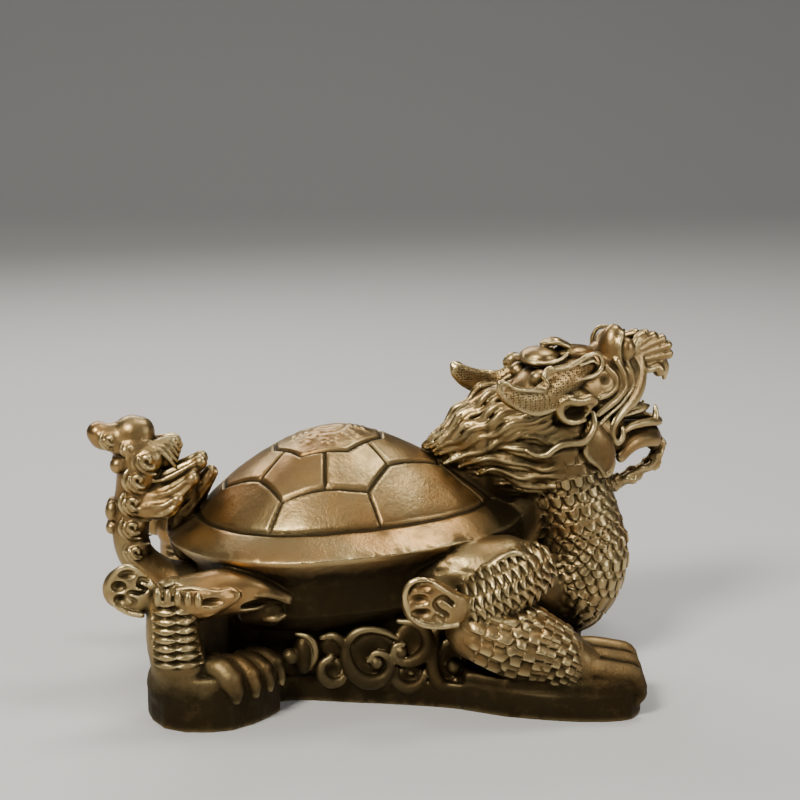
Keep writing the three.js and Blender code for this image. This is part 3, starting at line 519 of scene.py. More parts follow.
def clouds(clay):
    """Scrolls between the legs: round plates with thick rims that coil into an eye."""
    plates = (
        ((-31.4, 35.6, 20.6), (4.4, 6, 8.6)), ((-20, 37.5, 24), (4.8, 2.8, 5)),
        ((-20, 37.5, 14), (4.6, 2.4, 5)), ((-5, 38.5, 20), (9.6, 2.8, 9.8)),
        ((10.6, 39, 25.4), (7.2, 2.8, 7.8)), ((9.4, 39.4, 11), (6.2, 2.4, 5)),
        ((25, 39.6, 16), (6.6, 2.4, 10)),
    )
    hollows = (
        ((-5, 42.8, 21), (7.2, 2.8, 7)), ((9, 43.2, 25.4), (5, 2.6, 6)), ((9.4, 43, 12), (4, 2.4, 3.4)),
        ((25.6, 43.2, 17), (4.6, 2.6, 7.6)), ((-20.4, 41, 14.6), (3, 2.4, 3)),
    )
    rims = (
        [(-34, 39, 29.2, 0.8), (-29.6, 40, 28.2, 1.2), (-27.2, 40, 24.6, 1.4), (-27, 39.6, 20, 1.3),
         (-29, 38.4, 15, 1)],
        [(-24.5, 39, 27.4, 1), (-20, 40, 28.4, 1.6), (-16.4, 40, 25.4, 2), (-15.6, 39.6, 20.4, 1.6),
         (-17.6, 39, 17.6, 1)],
        [(-21, 39.6, 19.6, 1.2), (-24.2, 39.6, 17, 1.7), (-24.6, 39.8, 12.8, 2), (-21.4, 40, 9.6, 2.2),
         (-17.2, 39.8, 10.2, 1.8), (-15, 39, 13.8, 1.2)],
        [(5, 40, 26.4, 0.9), (-0.6, 40.6, 29.6, 1.2), (-6, 40.6, 30.8, 1.3), (-11.4, 40.6, 29.6, 1.6),
         (-15, 40.4, 24.8, 2), (-15, 40.6, 18.6, 2.6), (-12, 41, 13, 3), (-6.4, 41.4, 9.9, 3.1),
         (-0.6, 41.4, 11.4, 2.6), (1.8, 41.4, 15.8, 2), (0, 41.6, 20.4, 1.5), (-4, 41.6, 21.6, 1.2),
         (-6.8, 41.6, 18.6, 1)],
        [(5, 39.6, 33.4, 1), (11.4, 40.6, 32.4, 1.7), (15.8, 41.4, 28, 2.6), (16, 42, 22.6, 3),
         (11.8, 42.4, 18.8, 2.6), (6.4, 42.4, 17.8, 1.8), (2.8, 42.2, 20.4, 1.2), (3.4, 42, 24.2, 1),
         (6.8, 42, 25, 0.9)],
        [(3.6, 40.6, 15.6, 1.4), (3.8, 41.4, 10.4, 2), (8, 42, 7.4, 2.4), (13, 42, 8.6, 2.1),
         (15.4, 41.4, 13.4, 1.4)],
        [(19.4, 40.6, 30, 1.8), (18.2, 42, 23, 2.3), (18, 43, 15, 2.6), (20.6, 43.4, 9, 2.8),
         (26, 43.6, 7, 2.7), (30.8, 43, 10, 2)],
    )
    beads = ((-36.4, 39, 20.4, 3.2), (-3.6, 41, 17.4, 2.7), (5.8, 41.6, 21.6, 2.5), (26.2, 41.4, 15.4, 3.1),
             (9.8, 40.6, 12.8, 1.3), (26.8, 43, 10, 1.6))
    for centre, radii in plates:
        both_balls(clay, centre, radii, blend=0.5)
    for centre, radii in hollows:
        both_balls(clay, centre, radii, blend=0.5, carve=True)
    for rows in rims:
        both(clay, rows, blend=0.3)
    for x, y, z, r in beads:
        both_balls(clay, (x, y, z), r, blend=0.2)


# Legs

def lenses(down, across, length, width, depth):
    """Lens-shaped scales in straight columns, a length apart, pointed at both sides."""
    from_middle = np.abs(np.mod(down / length, 1) - 0.5)
    aside = np.abs(np.mod(across / width, 1) - 0.5) * 2
    half = 0.5 - 0.34 * aside**1.6
    return depth * (ramp(half - from_middle, -0.02, 0.2) - 0.45)


def outer_face(rows, x, z):
    """How far out a bar's side lies at a place; rows are x, distance out, z, radius."""
    xs = [row[0] for row in rows]
    out, middle, radius = (np.interp(x, xs, [row[k] for row in rows]) for k in (1, 2, 3))
    return float(out + math.sqrt(max(radius**2 - (z - middle)**2, (0.35 * radius)**2)))


def edging(clay, rows, line, radius=0.8, sunk=0.2, **options):
    """A thin ridge or groove that follows a bar's side along a line of x, z places."""
    both(clay, [(x, outer_face(rows, x, z) - sunk, z, radius) for x, z in line], **options)


def upper_arm_leaves(along, turn, x, y, z):
    """Long slanted leaf scales, bent like an S, whose tips point down."""
    down = 0.34 * (x - 54) + 0.94 * (56 - z)
    across = 0.94 * (x - 54) + 0.34 * (z - 56) + 0.7 * np.sin(down / 1.6)
    relief = scales(down + 60, across + 60, 4.6, 3.5, 1.9, 1.4, 1)
    return relief * ramp(np.abs(y), 38, 42) * (1 - ramp(z - 0.4 * (x - 40), 58, 61))


def on_forearm(turn, x):
    """Where the forearm has scales."""
    return ramp(x, 27, 32) * (1 - ramp(x, 69, 73)) * (1 - ramp(np.abs(turn), 2.5, 2.8))


def forearm_scales(along, turn, x, y, z):
    """Rounded scales in rows along the forearm, tips down."""
    down = np.abs(turn) / (2 * math.pi) * FOREARM_GIRTH
    relief = scales(down, along, FOREARM_GIRTH / FOREARM_ROWS, FOREARM_COLUMN, 1.4)
    return relief * on_forearm(turn, x)


def front_legs(clay):
    both(clay, [(18, 34, 50, 10), (32, 38, 52, 12.5), (46, 37.5, 53, 12.6)], blend=0.8)
    arm = [(36, 50, 44, 10), (46, 46, 50, 12), (54, 40, 53, 11)]
    both(clay, arm, blend=1.2, skin=upper_arm_leaves)
    both(clay, [(70, 54, 12, 9.5), (86, 54.5, 12, 10)], blend=2)
    foot = [(62, 42), (64, 60), (72, 63.6), (84, 63.8), (91, 62.6), (94.5, 56), (94.5, 44), (88, 38)]
    under = [(28, 36), (30, 48), (44, 56), (64, 61), (70, 50), (60, 36)]
    both_slabs(clay, foot, 16.5, 2, 2.5)
    both_slabs(clay, under, 15, 2, 2)
    both(clay, FOREARM, flat=0.95, blend=0.6, skin=forearm_scales)
    rim = [(35.4, 50, 57, 0.9), (38.9, 51.5, 58.6, 1.1), (42.5, 51.5, 61, 1.1), (47.1, 51, 62.6, 1.1),
           (51.6, 50, 61.6, 1.1), (56.2, 48.5, 58.6, 1), (59, 47, 54, 0.8)]
    both(clay, rim, blend=0.7)
    for wrinkle in ([(22, 46.5, 57.6, 1), (30, 50, 59.4, 1.2), (38, 50, 63.4, 0.9)],
                    [(19, 45.5, 54.6, 0.9), (25, 49, 56.6, 1.1), (31, 50.8, 55.2, 0.8)],
                    [(24, 43.5, 62.6, 0.9), (33, 47, 65, 1.1), (42, 47, 66.4, 0.8)]):
        both(clay, wrinkle, blend=1, carve=True)


def shank_scales(along, turn, x, y, z):
    """Two columns of wide lens scales on the outer side."""
    outer = ramp(np.abs(np.sin(turn)), 0.35, 0.6)
    return lenses(z + 60, x + 86.6, 3.25, 8.2, 1.7) * outer * ramp(x, -87.4, -86.4) * ramp(z, 24.5, 26)


def rear_legs(clay):
    thigh = [(-83, 49, 47, 8), (-70, 48, 48, 9), (-56, 44, 49, 9), (-44, 39, 47, 8)]
    both(clay, thigh, blend=1)
    both(clay, [(-80, 50, 46, 9.5), (-80, 53, 35, 10), (-78, 53, 24, 10.5)], flat=0.9, blend=0.9,
         skin=shank_scales)
    lower = [(-68, 50, 52.5, 4), (-52, 48, 52, 4.2), (-37, 46, 46, 1.8)]
    both(clay, lower, blend=0.9)
    edging(clay, lower, [(-66, 50), (-59, 48.4), (-53.6, 48.2), (-49.5, 49.2), (-45, 48.6), (-40.3, 46.8),
                         (-37, 44.8)],
           1, 0.2, blend=0.3)
    both(clay, [(-52, 42, 39, 4), (-44, 43, 40, 5.5)], blend=0.6)
    both(clay, [(-46, 47.6, 38.4, 0.9), (-42, 48.4, 38.6, 1.2), (-38.6, 46.6, 39.4, 0.9)], blend=0.4)
    both_balls(clay, (-49, 50.4, 45), (6.4, 4, 2), blend=0.5, carve=True)
    upper = [(-79, 53, 48, 5), (-67, 54, 48, 5.5), (-56, 52.5, 50, 1.8)]
    both(clay, upper, blend=0.5)
    both_balls(clay, (-64, 60.4, 49.4), (6, 3.8, 2.1), blend=0.3, carve=True)
    edging(clay, upper, [(-78, 53), (-73, 53.6), (-68, 52.9), (-63.5, 51.9), (-58.5, 51.9), (-55.6, 50.4),
                         (-57.6, 48.2), (-61.6, 46.4), (-66, 44.4), (-70, 43.6)], 1, 0.1, blend=0.3)
    for i in range(5):
        x = -85 + 3.7 * i
        z = 51 - 0.3 * i
        both_balls(clay, (x, outer_face(upper, x, z) + 0.1, z), (1.6, 1.7, 3.8 - 0.15 * i), blend=0.1)
    both(clay, [(-79, 47, 15, 11.5), (-70, 48, 15, 11.5), (-61, 49, 14, 10.5), (-53, 44, 14, 9.5)], blend=2)
    foot = [(-88, 38), (-88.6, 48), (-84, 57), (-76, 61.5), (-66, 62.4), (-58.4, 61), (-50.6, 55.6),
            (-45, 49.6), (-40.6, 43), (-42, 36)]
    both_slabs(clay, foot, 20.5, 1.5, 2.4)


def toes(clay):
    """Toes end in a claw that bends down."""
    for y, z in ((60.6, 18), (54, 20.5), (47, 22.5)):
        both(clay, [(68, y - 2, z + 1, 3), (78, y - 0.5, z + 1.4, 3.6), (86, y, z, 3.8),
                    (92, y, z - 1.5, 3.6), (94.4, y, z - 6, 3)], blend=0.6)
        both(clay, [(92.5, y, z - 4, 2.4), (95.2, y, z - 8.4, 2.3), (93.4, y, z - 12.5, 1.5)], blend=0.5)
    for i, (x, y, size) in enumerate(((-60, 59, 4.8), (-52.8, 54, 3.9), (-47.4, 48.6, 3.5),
                                      (-43, 42.6, 3.2))):
        both(clay, [(x - 8, y - 6, 21.4, size), (x - 2.6, y - 2, 22.4 - 0.4 * i, size),
                    (x + 0.6, y + 0.2, 19.6, size)],
             blend=0.4)
        both(clay, [(x + 1, y + 0.6, 18.4, 0.85 * size), (x + 2.6, y + 1.8, 15.4, 0.65 * size),
                    (x + 3, y + 2.2, 12, 0.35 * size)], blend=0.25)


def tuft(clay, rows, outline, dimples, waves):
    """A flat drop-shaped tuft with a raised edge, three hollows and a winding groove on its outer face."""
    both(clay, rows, flat=0.38, blend=0.8)
    xs = sorted(row[0] for row in rows)
    faces = [row[1] + 0.38 * row[3] for row in sorted(rows)]

    def face(x):
        return float(np.interp(x, xs, faces))

    both(clay, [(x, face(x) - 0.6, z, 1.1) for x, z in outline], blend=0.5)
    for x, z, half_length, half_height in dimples:
        both_balls(clay, (x, face(x) + 0.5, z), (half_length, 2.6, half_height), blend=0.25, carve=True)
    both(clay, [(x, face(x) - 0.1, z, 1.0) for x, z in waves], blend=0.25, carve=True)


def tufts(clay):
    tuft(clay, [(33, 55, 42, 4.5), (23, 60, 44.5, 7), (13.5, 61, 47.8, 9.3)],
         [(27.5, 46.6), (20.8, 52), (15.4, 55.8), (12, 57.2), (8.4, 56.8), (5.9, 54.4), (5.2, 50.5),
          (6.6, 45.2), (11.4, 40.4), (18.6, 38.8), (25, 38.6)],
         [(12, 54.8, 4.5, 2.1), (10.3, 49.9, 4.2, 2.4), (11.4, 44.6, 4.2, 2.1)],
         [(23, 47.4), (19.3, 50.2), (16.3, 48.2), (17.6, 45.7), (21, 43.1), (19.6, 41.3), (16.8, 43.2),
          (15.6, 41.6)])
    tuft(clay, [(-86, 51, 48, 5), (-93, 54, 51.5, 7.6), (-96.5, 55, 54.5, 8.6)],
         [(-86.6, 54.2), (-90.2, 58.9), (-93.4, 62.4), (-96.6, 63.2), (-99.8, 61.4), (-102.4, 57.4),
          (-102, 52.4), (-99.6, 48.4), (-95.4, 45.6), (-91, 43.8)],
         [(-95.6, 60.2, 3.7, 1.8), (-98.8, 56, 3, 2.4), (-98.4, 51, 2.6, 2.3)],
         [(-88.6, 56.8), (-91, 57.8), (-92, 56), (-89.4, 53.8), (-91.4, 52.8), (-95, 53.4), (-95.6, 51.8),
          (-93, 49.6), (-93.6, 48.2), (-96.4, 48)])


# Neck, head and mane

def neck_skin(along, turn, x, y, z):
    """Scales that point down, with a smooth band and a row of notches along the throat."""
    girth = 2 * math.pi * NECK_RADIUS
    across = turn / (2 * math.pi) * girth
    relief = scales(NECK_END - along, across, NECK_ROW, girth / NECK_COLUMNS, 1.3)
    from_front = (math.pi - np.abs(turn)) * NECK_RADIUS
    band = ramp(from_front, THROAT, 5)
    notch = np.exp(-((from_front - 3.2) / 0.6)**2) * (np.mod(along, NECK_ROW) < 1.5)
    return (relief * band - 0.6 * notch) * ramp(along, 22, 34)


def neck(clay):
    limb(clay, [(42, 0, 50, 12), (56, 0, 58, 12), (66, 0, 74, 11)], blend=2)
    limb(clay, NECK, blend=0.8, skin=neck_skin)


def skull(clay):
    limb(clay, [(-16, 0, 13, 13), (-4, 0, 15, 15), (8, 0, 17.5, 13.5), (18, 0, 21, 10)], in_head, blend=2)
    limb(clay, [(-6, 0, 0, 14), (4, 0, -1, 14), (10, 0, -3, 12)], in_head, flat=0.9, face=UP, blend=2)
    limb(clay, [(12, 0, 17, 10), (20, 0, 19, 7), (25, 0, 23, 5)], in_head, flat=0.9, face=UP, blend=2)
    limb(clay, [(2, 0, -7, 11.4), (12, 0, -7.5, 10), (23, 0, -5, 8.2), (31, 0, -4.6, 6.4),
                (34.5, 0, -6, 4.4)],
         in_head, flat=0.6, face=UP, blend=1.5)
    limb(clay, [(-10, 0, -4, 15), (-4, 0, -16, 15)], in_head, blend=3)
    tongue = [(8, 0, 1, 5.6), (20, 0, 3.2, 5), (28, 0, 4.4, 4), (31.4, 0, 5.4, 2.2)]
    limb(clay, tongue, in_head, flat=0.4, face=UP, blend=0.5)
    both(clay, [(12, 5, 5.8, 1), (22, 4.4, 6, 1.1), (30, 2.2, 6.4, 0.9)], in_head, blend=0.4)
    limb(clay, [(14, 0, 5, 0.6), (28, 0, 6.4, 0.6)], in_head, blend=0.4, carve=True)


def on_lid(forward, above, proud=0.0):
    """How far out the domed eyelid's surface lies."""
    inside = 1 - ((forward - LID[0]) / LID_RADII[0])**2 - ((above - LID[2]) / LID_RADII[2])**2
    return LID[1] + LID_RADII[1] * math.sqrt(max(inside, 0)) + proud


def eyes(clay):
    """Round eyes at the front of tall domed lids; the far one stands a little lower and further forward."""
    for side, ahead, drop in zip(SIDES, (0, 2.4), (0, 3.6)):
        ball(clay, (LID[0] + ahead, side * LID[1], LID[2] - drop), LID_RADII, in_head, TURN, blend=1.2)
    ball(clay, (9.6, 0, 26), (5.4, 6, 8), in_head, TURN, blend=2)
    around = [(17.4, 38.2), (14.6, 37.4), (12.6, 34), (12.6, 29.4), (14.2, 26)]
    both(clay, [(f, on_lid(f, a, 0.3), a, 0.95) for f, a in around], in_head, blend=0.6)
    both(clay, [(f + 1.5, on_lid(f + 1.5, a - 0.4, 0.4), a - 0.4, 0.8) for f, a in around], in_head,
         blend=0.4, carve=True)
    both_balls(clay, (17.2, 8.4, 31.4), (3.7, 3.6, 4.6), in_head, TURN, blend=0.25)


def nose_fan(clay):
    """The nose: a fan of petals with round ends, with a nostril and a drop beneath it."""
    petals = (
        ((22.4, 32), (24.4, 34.4), (27.4, 35.2)), ((22.4, 30.4), (27.2, 33.6), (32, 34.8)),
        ((22.4, 28.6), (29.4, 31.6), (36.2, 33.4)), ((22.4, 27), (30.6, 29.2), (39, 30.6)),
        ((22.4, 25.4), (30.4, 26.4), (39.6, 27)), ((22.4, 23.8), (28.6, 23.8), (35.6, 24)),
    )
    limb(clay, [(20, 0, 27, 5.4), (28, 0, 29, 4.6), (35, 0, 30, 3)], in_head, flat=0.7, face=HEAD_SIDE,
         blend=0.8)
    for start, middle, end in petals:
        petal = [(start[0], 5.4, start[1], 1.3), (middle[0], 4.4, middle[1], 1.7), (end[0], 2.9, end[1], 2)]
        both(clay, petal, in_head, blend=0.2)
        both_balls(clay, (end[0] + 0.1, 3, end[1]), 2.15, in_head, blend=0.2)
    both_balls(clay, (34.6, 4.6, 21), 2.7, in_head, blend=0.3)
    both(clay, [(25, 6.4, 22.4, 1.4), (29.6, 6, 21.8, 1.5), (34, 5.4, 23, 1.3)], in_head, blend=0.4)
    limb(clay, [(37, 0, 26, 2.6), (40, 0, 21, 1.9), (39.9, 0, 16.6, 0.9)], in_head, blend=0.8)


def cheek_ribs(clay):
    """Bands that sweep from the eye round the mouth's corner; the foremost is the broad upper lip."""
    lip = [(25, 5.8, 26, 2.4), (24.8, 6.4, 22, 3.1), (23.8, 7.2, 17.6, 3.3), (21.6, 8.4, 13.6, 3.1),
           (18.2, 9.8, 10, 2.7), (14, 11.4, 6.6, 2.2), (11, 12.6, 3.6, 1.7), (9.3, 13.2, 0.4, 1.4),
           (9.5, 13.4, -3.4, 1.4), (11.8, 13.2, -5.4, 1.4), (14.2, 12.8, -3.6, 1.3), (14.6, 12.2, 0, 1.2)]
    both(clay, lip, in_head, flat=0.55, face=HEAD_SIDE, blend=0.4)
    both(clay, [(26.8, 6.6, 22, 0.7), (26.6, 7.2, 17, 0.8), (24.2, 8.6, 12, 0.8), (20, 10.2, 8, 0.7)],
         in_head, blend=0.6)
    for rib in (
        [(17, 9.8, 26.6, 0.8), (19.6, 9.6, 21.2, 0.9), (19.6, 10, 16.4, 0.9), (16, 11.2, 12.6, 0.9),
         (11.4, 12.8, 9.2, 0.9), (6.2, 14, 6.2, 0.85), (2.4, 14.8, 3, 0.7)],
        [(11.4, 11, 27.4, 1.3), (14.4, 11.2, 22, 1.7), (14.8, 11.6, 17, 1.8), (11.2, 12.8, 13, 1.8),
         (6.2, 14, 10.2, 1.7), (1.6, 14.8, 7.4, 1.3)],
        [(6.6, 11.8, 25.4, 1.1), (10.2, 12.2, 21.4, 1.5), (10.2, 12.6, 17.4, 1.5), (6.4, 13.8, 14.8, 1.4),
         (2.2, 14.8, 13.8, 1.1)],
    ):
        both(clay, rib, in_head, blend=0.3)
    both_balls(clay, (5.4, 15.4, 21.4), (2.6, 3.2, 3), in_head, TURN, blend=0.8, carve=True)


def beard_skin(along, turn, x, y, z):
    return 0.8 * np.sin(2 * turn + along / 1.5) + 0.4 * np.sin(3 * turn - along / 1.1)


def jaws(clay):
    """Lower lip, smooth chin plate, jowl plate with a sharp edge, fangs and the ragged beard."""
    lip = [(15.6, 10.2, -2, 1.2), (19, 9.2, -0.4, 1.6), (24, 8, 0.3, 1.75), (30.5, 6.6, 0.4, 1.8),
           (35, 4.4, -0.2, 1.9), (36.8, 0, -0.4, 2)]
    both(clay, lip, in_head, blend=0.3)
    chin = [(15, 10.4, -12, 2.4), (18.4, 9.6, -8.8, 3), (22, 8.8, -7.2, 3.1), (26.4, 7.6, -6.6, 3.1),
            (31.6, 6, -7, 3), (35, 3.6, -8.4, 2.8), (36, 0, -9.2, 2.8)]
    both(clay, chin, in_head, flat=0.7, face=HEAD_SIDE, blend=0.5)
    jowl = [(-0.5, 14.8, 2.6, 3.4), (0, 15.6, -2.4, 5.2), (3, 15.2, -7.6, 6.4), (6.2, 14.2, -12.6, 4.4),
            (7.4, 13.2, -16.6, 1.8)]
    both(clay, jowl, in_head, flat=0.4, face=HEAD_SIDE, blend=0.3)
    both(clay, [(-1.6, 16.8, -2, 0.7), (-4.8, 16.8, -5.2, 0.85), (-4.4, 16.8, -8, 0.95),
                (-2, 16.8, -11, 0.95), (0.8, 16.4, -12.8, 0.95), (3.4, 15.6, -15.4, 0.95),
                (5.8, 14.4, -18, 1), (8.2, 14.2, -17.2, 0.9), (10.2, 13.6, -13.2, 0.8)], in_head, blend=0.4)
    both(clay, [(33.4, 5.6, 1, 1.5), (33.4, 5.2, 4.4, 1.2), (33.2, 5, 6.6, 0.6)], in_head, blend=0.4)
    beard = [(35.5, 0, -8, 3.4), (38.4, 0, -12.6, 2.6), (36.8, 0, -17, 3), (32.4, 0, -20, 2.3),
             (27, 0, -22.6, 2.8), (21, 0, -25, 2.6), (8, 0, -24, 5)]
    limb(clay, beard, in_head, blend=0.8, skin=beard_skin)
    both(clay, [(37, 1.2, -13, 1.3), (35, 2, -18, 1.4), (29, 1.8, -20.4, 1), (23, 1.4, -22.6, 1.2),
                (17, 1.6, -26, 1)],
         in_head, blend=0.5)


def ears(clay):
    """Cupped ears with a rolled edge."""
    both_balls(clay, (-9.5, 14, 12), (9, 5.6, 6.8), in_head, TURN, blend=0.6)
    both_balls(clay, (-9.4, 20.4, 9.6), (6, 6.4, 3.2), in_head, TURN, blend=0.3, carve=True)
    edge = [(-2.8, 17, 11.4, 1), (-1.6, 17.4, 13.4, 1.7), (-3.8, 18, 14.6, 2.1), (-6.8, 18.6, 14.2, 2.1),
            (-10, 19, 14.2, 2.1), (-13.6, 19, 15, 2.2), (-16.2, 18.4, 14, 2), (-17, 18, 11.4, 1.8),
            (-16, 18, 8.4, 1.6), (-13.8, 18, 6.6, 1.4), (-10.2, 17.8, 5.7, 1.3), (-5.4, 17, 6.2, 1)]
    both(clay, edge, in_head, blend=0.3)


def horns_and_crest(clay):
    """Forked flat horns that lie back along the head, with polished edges, and the crest between them."""
    tine = [(-1, 12, 27, 3.8), (-9, 14, 23.4, 5.4), (-18, 16, 18.2, 6.4), (-29, 19, 15.6, 5.2),
            (-39, 20.4, 19, 4.4), (-42.5, 20.8, 21.4, 3.4)]
    prong = [(-7, 13.4, 25.6, 3.6), (-15, 14.6, 24.8, 3.4), (-20.6, 15.6, 25, 3)]
    both(clay, tine, in_head, flat=0.45, face=HEAD_SIDE, blend=0.5)
    both(clay, prong, in_head, flat=0.5, face=HEAD_SIDE, blend=0.5)
    upper = [(-44.8, 22, 21.8, 0.9), (-44.6, 22, 24.4, 1), (-41.8, 22.2, 24.2, 0.95), (-38.5, 22.2, 22, 0.9),
             (-30, 21.2, 20.4, 0.9), (-23.6, 19.4, 20, 0.9), (-22.4, 18.2, 22, 0.9),
             (-23.8, 17.4, 24.6, 0.95), (-21, 16.8, 27.6, 0.95), (-17.6, 16.4, 27, 0.9),
             (-11.6, 15.8, 27.4, 0.9), (-7.6, 15.4, 29, 0.95), (-3.9, 15, 30.8, 1), (1.1, 14.2, 31.4, 1),
             (3.5, 13.6, 28.6, 1), (2.5, 14.2, 24.8, 1), (-1.2, 15, 22.8, 0.9), (-6.2, 15.8, 22.2, 0.8),
             (-11.2, 16.6, 20.8, 0.7)]
    lower = [(-44.8, 22, 21.8, 0.9), (-42.4, 22, 18.4, 0.9), (-35.1, 21.4, 13.2, 0.9), (-27.7, 20, 10.8, 0.9),
             (-19.8, 18.2, 11.6, 0.85), (-13, 16.4, 15, 0.7)]
    for edge in (upper, lower):
        both(clay, edge, in_head, blend=0.25)
    both(clay, [(-6, 17, 26, 1), (-2.4, 16.2, 26.2, 1.1), (0.4, 15.2, 26.4, 0.9)], in_head, blend=0.3,
         carve=True)
    both(clay, [(-7, 15.8, 27.6, 0.5), (-1, 15.2, 28.8, 0.6), (1.6, 14.6, 27.4, 0.6)], in_head, blend=0.3)
    ball(clay, (-17, 0, 29.4), (8, 8.2, 4), in_head, TURN, blend=0.5)
    ball(clay, (-2, 0, 30), (9, 7, 3.2), in_head, TURN, blend=0.8)
    limb(clay, [(-14.6, 0, 34.4, 2.2), (-10.4, 0, 35, 3), (-5, 0, 33, 2.4)], in_head, flat=0.55, face=UP,
         blend=0.4)
    both(clay, [(-14.4, 2.4, 34.8, 0.8), (-10.4, 4, 34.6, 1), (-6, 4.4, 32.8, 0.9)], in_head, blend=0.4)
    both(clay, [(-25, 1.4, 29.2, 0.7), (-23, 6.4, 28, 0.85), (-17, 8.4, 27.6, 0.9), (-11.5, 8, 29, 0.9),
                (-8, 7, 31, 0.8)],
         in_head, blend=0.4)
    both_balls(clay, (-21.4, 9, 22.6), (4, 3.4, 3.4), in_head, TURN, blend=0.5)


def mane_side(x, z):
    """How far out the mane's solid side lies."""
    return max(outer_face(rows, x, z) for rows in (UPPER_MANE, LOWER_MANE))


def lock(clay, rows, strands, spread=1.0, wave=0.24):
    """A lock of hair: wavy strands side by side that gather at the tip."""
    path = smooth_path(rows)
    steps = np.linalg.norm(np.diff(path[:, :3], axis=0), axis=1)
    travelled = np.concatenate([[0], np.cumsum(steps)])
    marks = np.linspace(0, travelled[-1], max(round(travelled[-1] / 3.2), 4))
    rows = np.stack([np.interp(marks, travelled, path[:, k]) for k in range(4)], 1)
    ahead = np.gradient(rows[:, :3], axis=0)
    across = np.stack([-ahead[:, 2], 0 * ahead[:, 0], ahead[:, 0]], 1)
    across /= np.linalg.norm(across, axis=1)[:, None]
    for i in range(strands):
        share = (2 * i + 1) / strands - 1
        phase = 2 * math.pi * marks / 14 + 0.9 * i + 0.15 * rows[0, 2]
        shift = share * spread * rows[:, 3] * 1.25 + wave * rows[:, 3] * np.sin(phase)
        centre = rows[:, :3] + across * shift[:, None]
        centre[:, 1] += 0.45 * rows[:, 3] * (1 - share**2) + 0.7 * (i % 2) + 0.4 * np.cos(phase)
        radius = rows[:, 3] * (1.35 / strands + 0.06)
        both(clay, np.column_stack([centre, radius]).tolist(), in_mane, blend=0.2)


def side_lock(clay, places, width):
    """A broad lock on the mane's side; its middle follows x, z places and it thins out at both ends."""
    last = len(places) - 1
    rows = []
    for i, (x, z) in enumerate(places):
        radius = width * min(1, 0.85 + 0.15 * i, 0.3 + 0.4 * (last - i))
        rows.append((x, mane_side(x, z) + 0.4 * width, z, radius))
    lock(clay, rows, 3, 1, 0.12)


def mane(clay):
    """Wavy locks that sweep back from cheek and nape over a solid mane."""
    limb(clay, UPPER_MANE, in_mane, blend=1.5, skin=hair(24, 1.1, 0.6, 16))
    limb(clay, LOWER_MANE, in_mane, blend=1.5, skin=hair(18, 1.1, 0.6, 16))
    limb(clay, [(21, 0, 86, 4.4), (28, 0, 83, 5.5), (38, 0, 80, 8), (54, 0, 78, 10)], in_mane, blend=1)
    limb(clay, [(58, 0, 114, 5), (44, 0, 109, 5.2), (30, 0, 99, 4.2), (20, 0, 92.5, 2.2)], in_mane, blend=1,
         skin=hair(10, 0.9))
    for rows in (
        [(60, 6, 115, 4), (46, 6, 110, 4.4), (33, 5, 101, 3.8), (21, 3, 93, 1.4)],
        [(62, 11, 111, 4.2), (47, 11.5, 105.5, 4.4), (35, 9, 98.5, 3.8), (22, 4, 91.6, 1.4)],
        [(66, 15, 106.5, 3.6), (54, 15, 104, 3.6), (42, 11.5, 98, 3.2), (28, 6.4, 91, 1.4)],
    ):
        lock(clay, rows, 4)
    for places, width in (
        ([(77, 99.6), (67, 97.1), (60.5, 99.4), (53.7, 99.5), (46.3, 97.2), (40.2, 92.8), (33.1, 90.7),
          (25.6, 87.2)], 2.3),
        ([(76, 93.2), (69.5, 92.8), (62.6, 92.2), (57.1, 93.8), (49.3, 95), (43, 93.6)], 2.2),
        ([(77, 88.8), (71.6, 87.7), (64.7, 85.9), (59.7, 87.2), (55.4, 88.2), (49.4, 89.6), (43.1, 90.2),
          (37.1, 88.6), (31.7, 85.4)], 2.1),
        ([(80.4, 84.4), (73.2, 82.2), (68.2, 83.4), (61.7, 83.2), (56.5, 82), (50.5, 84.4), (44, 85.4),
          (39.2, 82.6)], 2),
        ([(84, 80.8), (77.8, 78.2), (70.8, 79.2), (63.8, 78.4), (57.9, 78.8), (52.5, 79.8), (46.6, 78.6)],
         1.9),
        ([(83.4, 75.6), (75.8, 76), (69, 74.6), (63, 75.4)], 1.7),
    ):
        side_lock(clay, places, width)
    whisker = [(84, 15.2, 108, 1.1), (84.2, 16, 104, 1.2), (82, 17.4, 100, 1.3), (78.5, 18.8, 97.4, 1.4),
               (73, 20, 97.2, 1.4), (69, 20.6, 96.8, 1.4), (66, 20.8, 95, 1.3), (63.6, 20.8, 93, 1.3),
               (59.5, 20.4, 92.8, 1.1), (56, 19.6, 94.8, 0.8)]
    both(clay, whisker, in_mane, blend=0.4)


# Tail

def curl(clay, x, y, z, size):
    """A curl on each side, like a breaking wave: a hook at the top and ridges sweeping to the shell."""
    for side in SIDES:
        ball(clay, (x, side * y, z), (size, size * 0.6, size * 0.9), blend=0.7)
        for ridge in range(3):
            reach = size * (0.36 + 0.33 * ridge)
            turns = range(165 - 15 * ridge, 320, 25)
            places = [(angle, reach * (1 + max(angle - 240, 0) / 90)) for angle in turns]
            if ridge == 0:
                turns = range(-40, 160, 30)
                places = [(angle, reach * (0.45 + 0.55 * (angle + 40) / 180)) for angle in turns] + places
            rows = []
            for k, (angle, away) in enumerate(places):
                px, pz = away * math.cos(math.radians(angle)), away * math.sin(math.radians(angle))
                rise = 0.66 * size * math.sqrt(max(1 - (px / size / 1.25)**2 - (pz / size / 1.1)**2, 0.04))
                fade = min(1, 0.45 + 0.3 * min(k, len(places) - 1 - k))
                rows.append((x + px, side * (y + rise + 0.1), z + pz, 0.17 * size * fade))
            limb(clay, rows, blend=0.1)


def leaf_ridges(along, turn, x, y, z):
    return 0.55 * np.cos(6 * turn) * ramp(along, 2, 8)


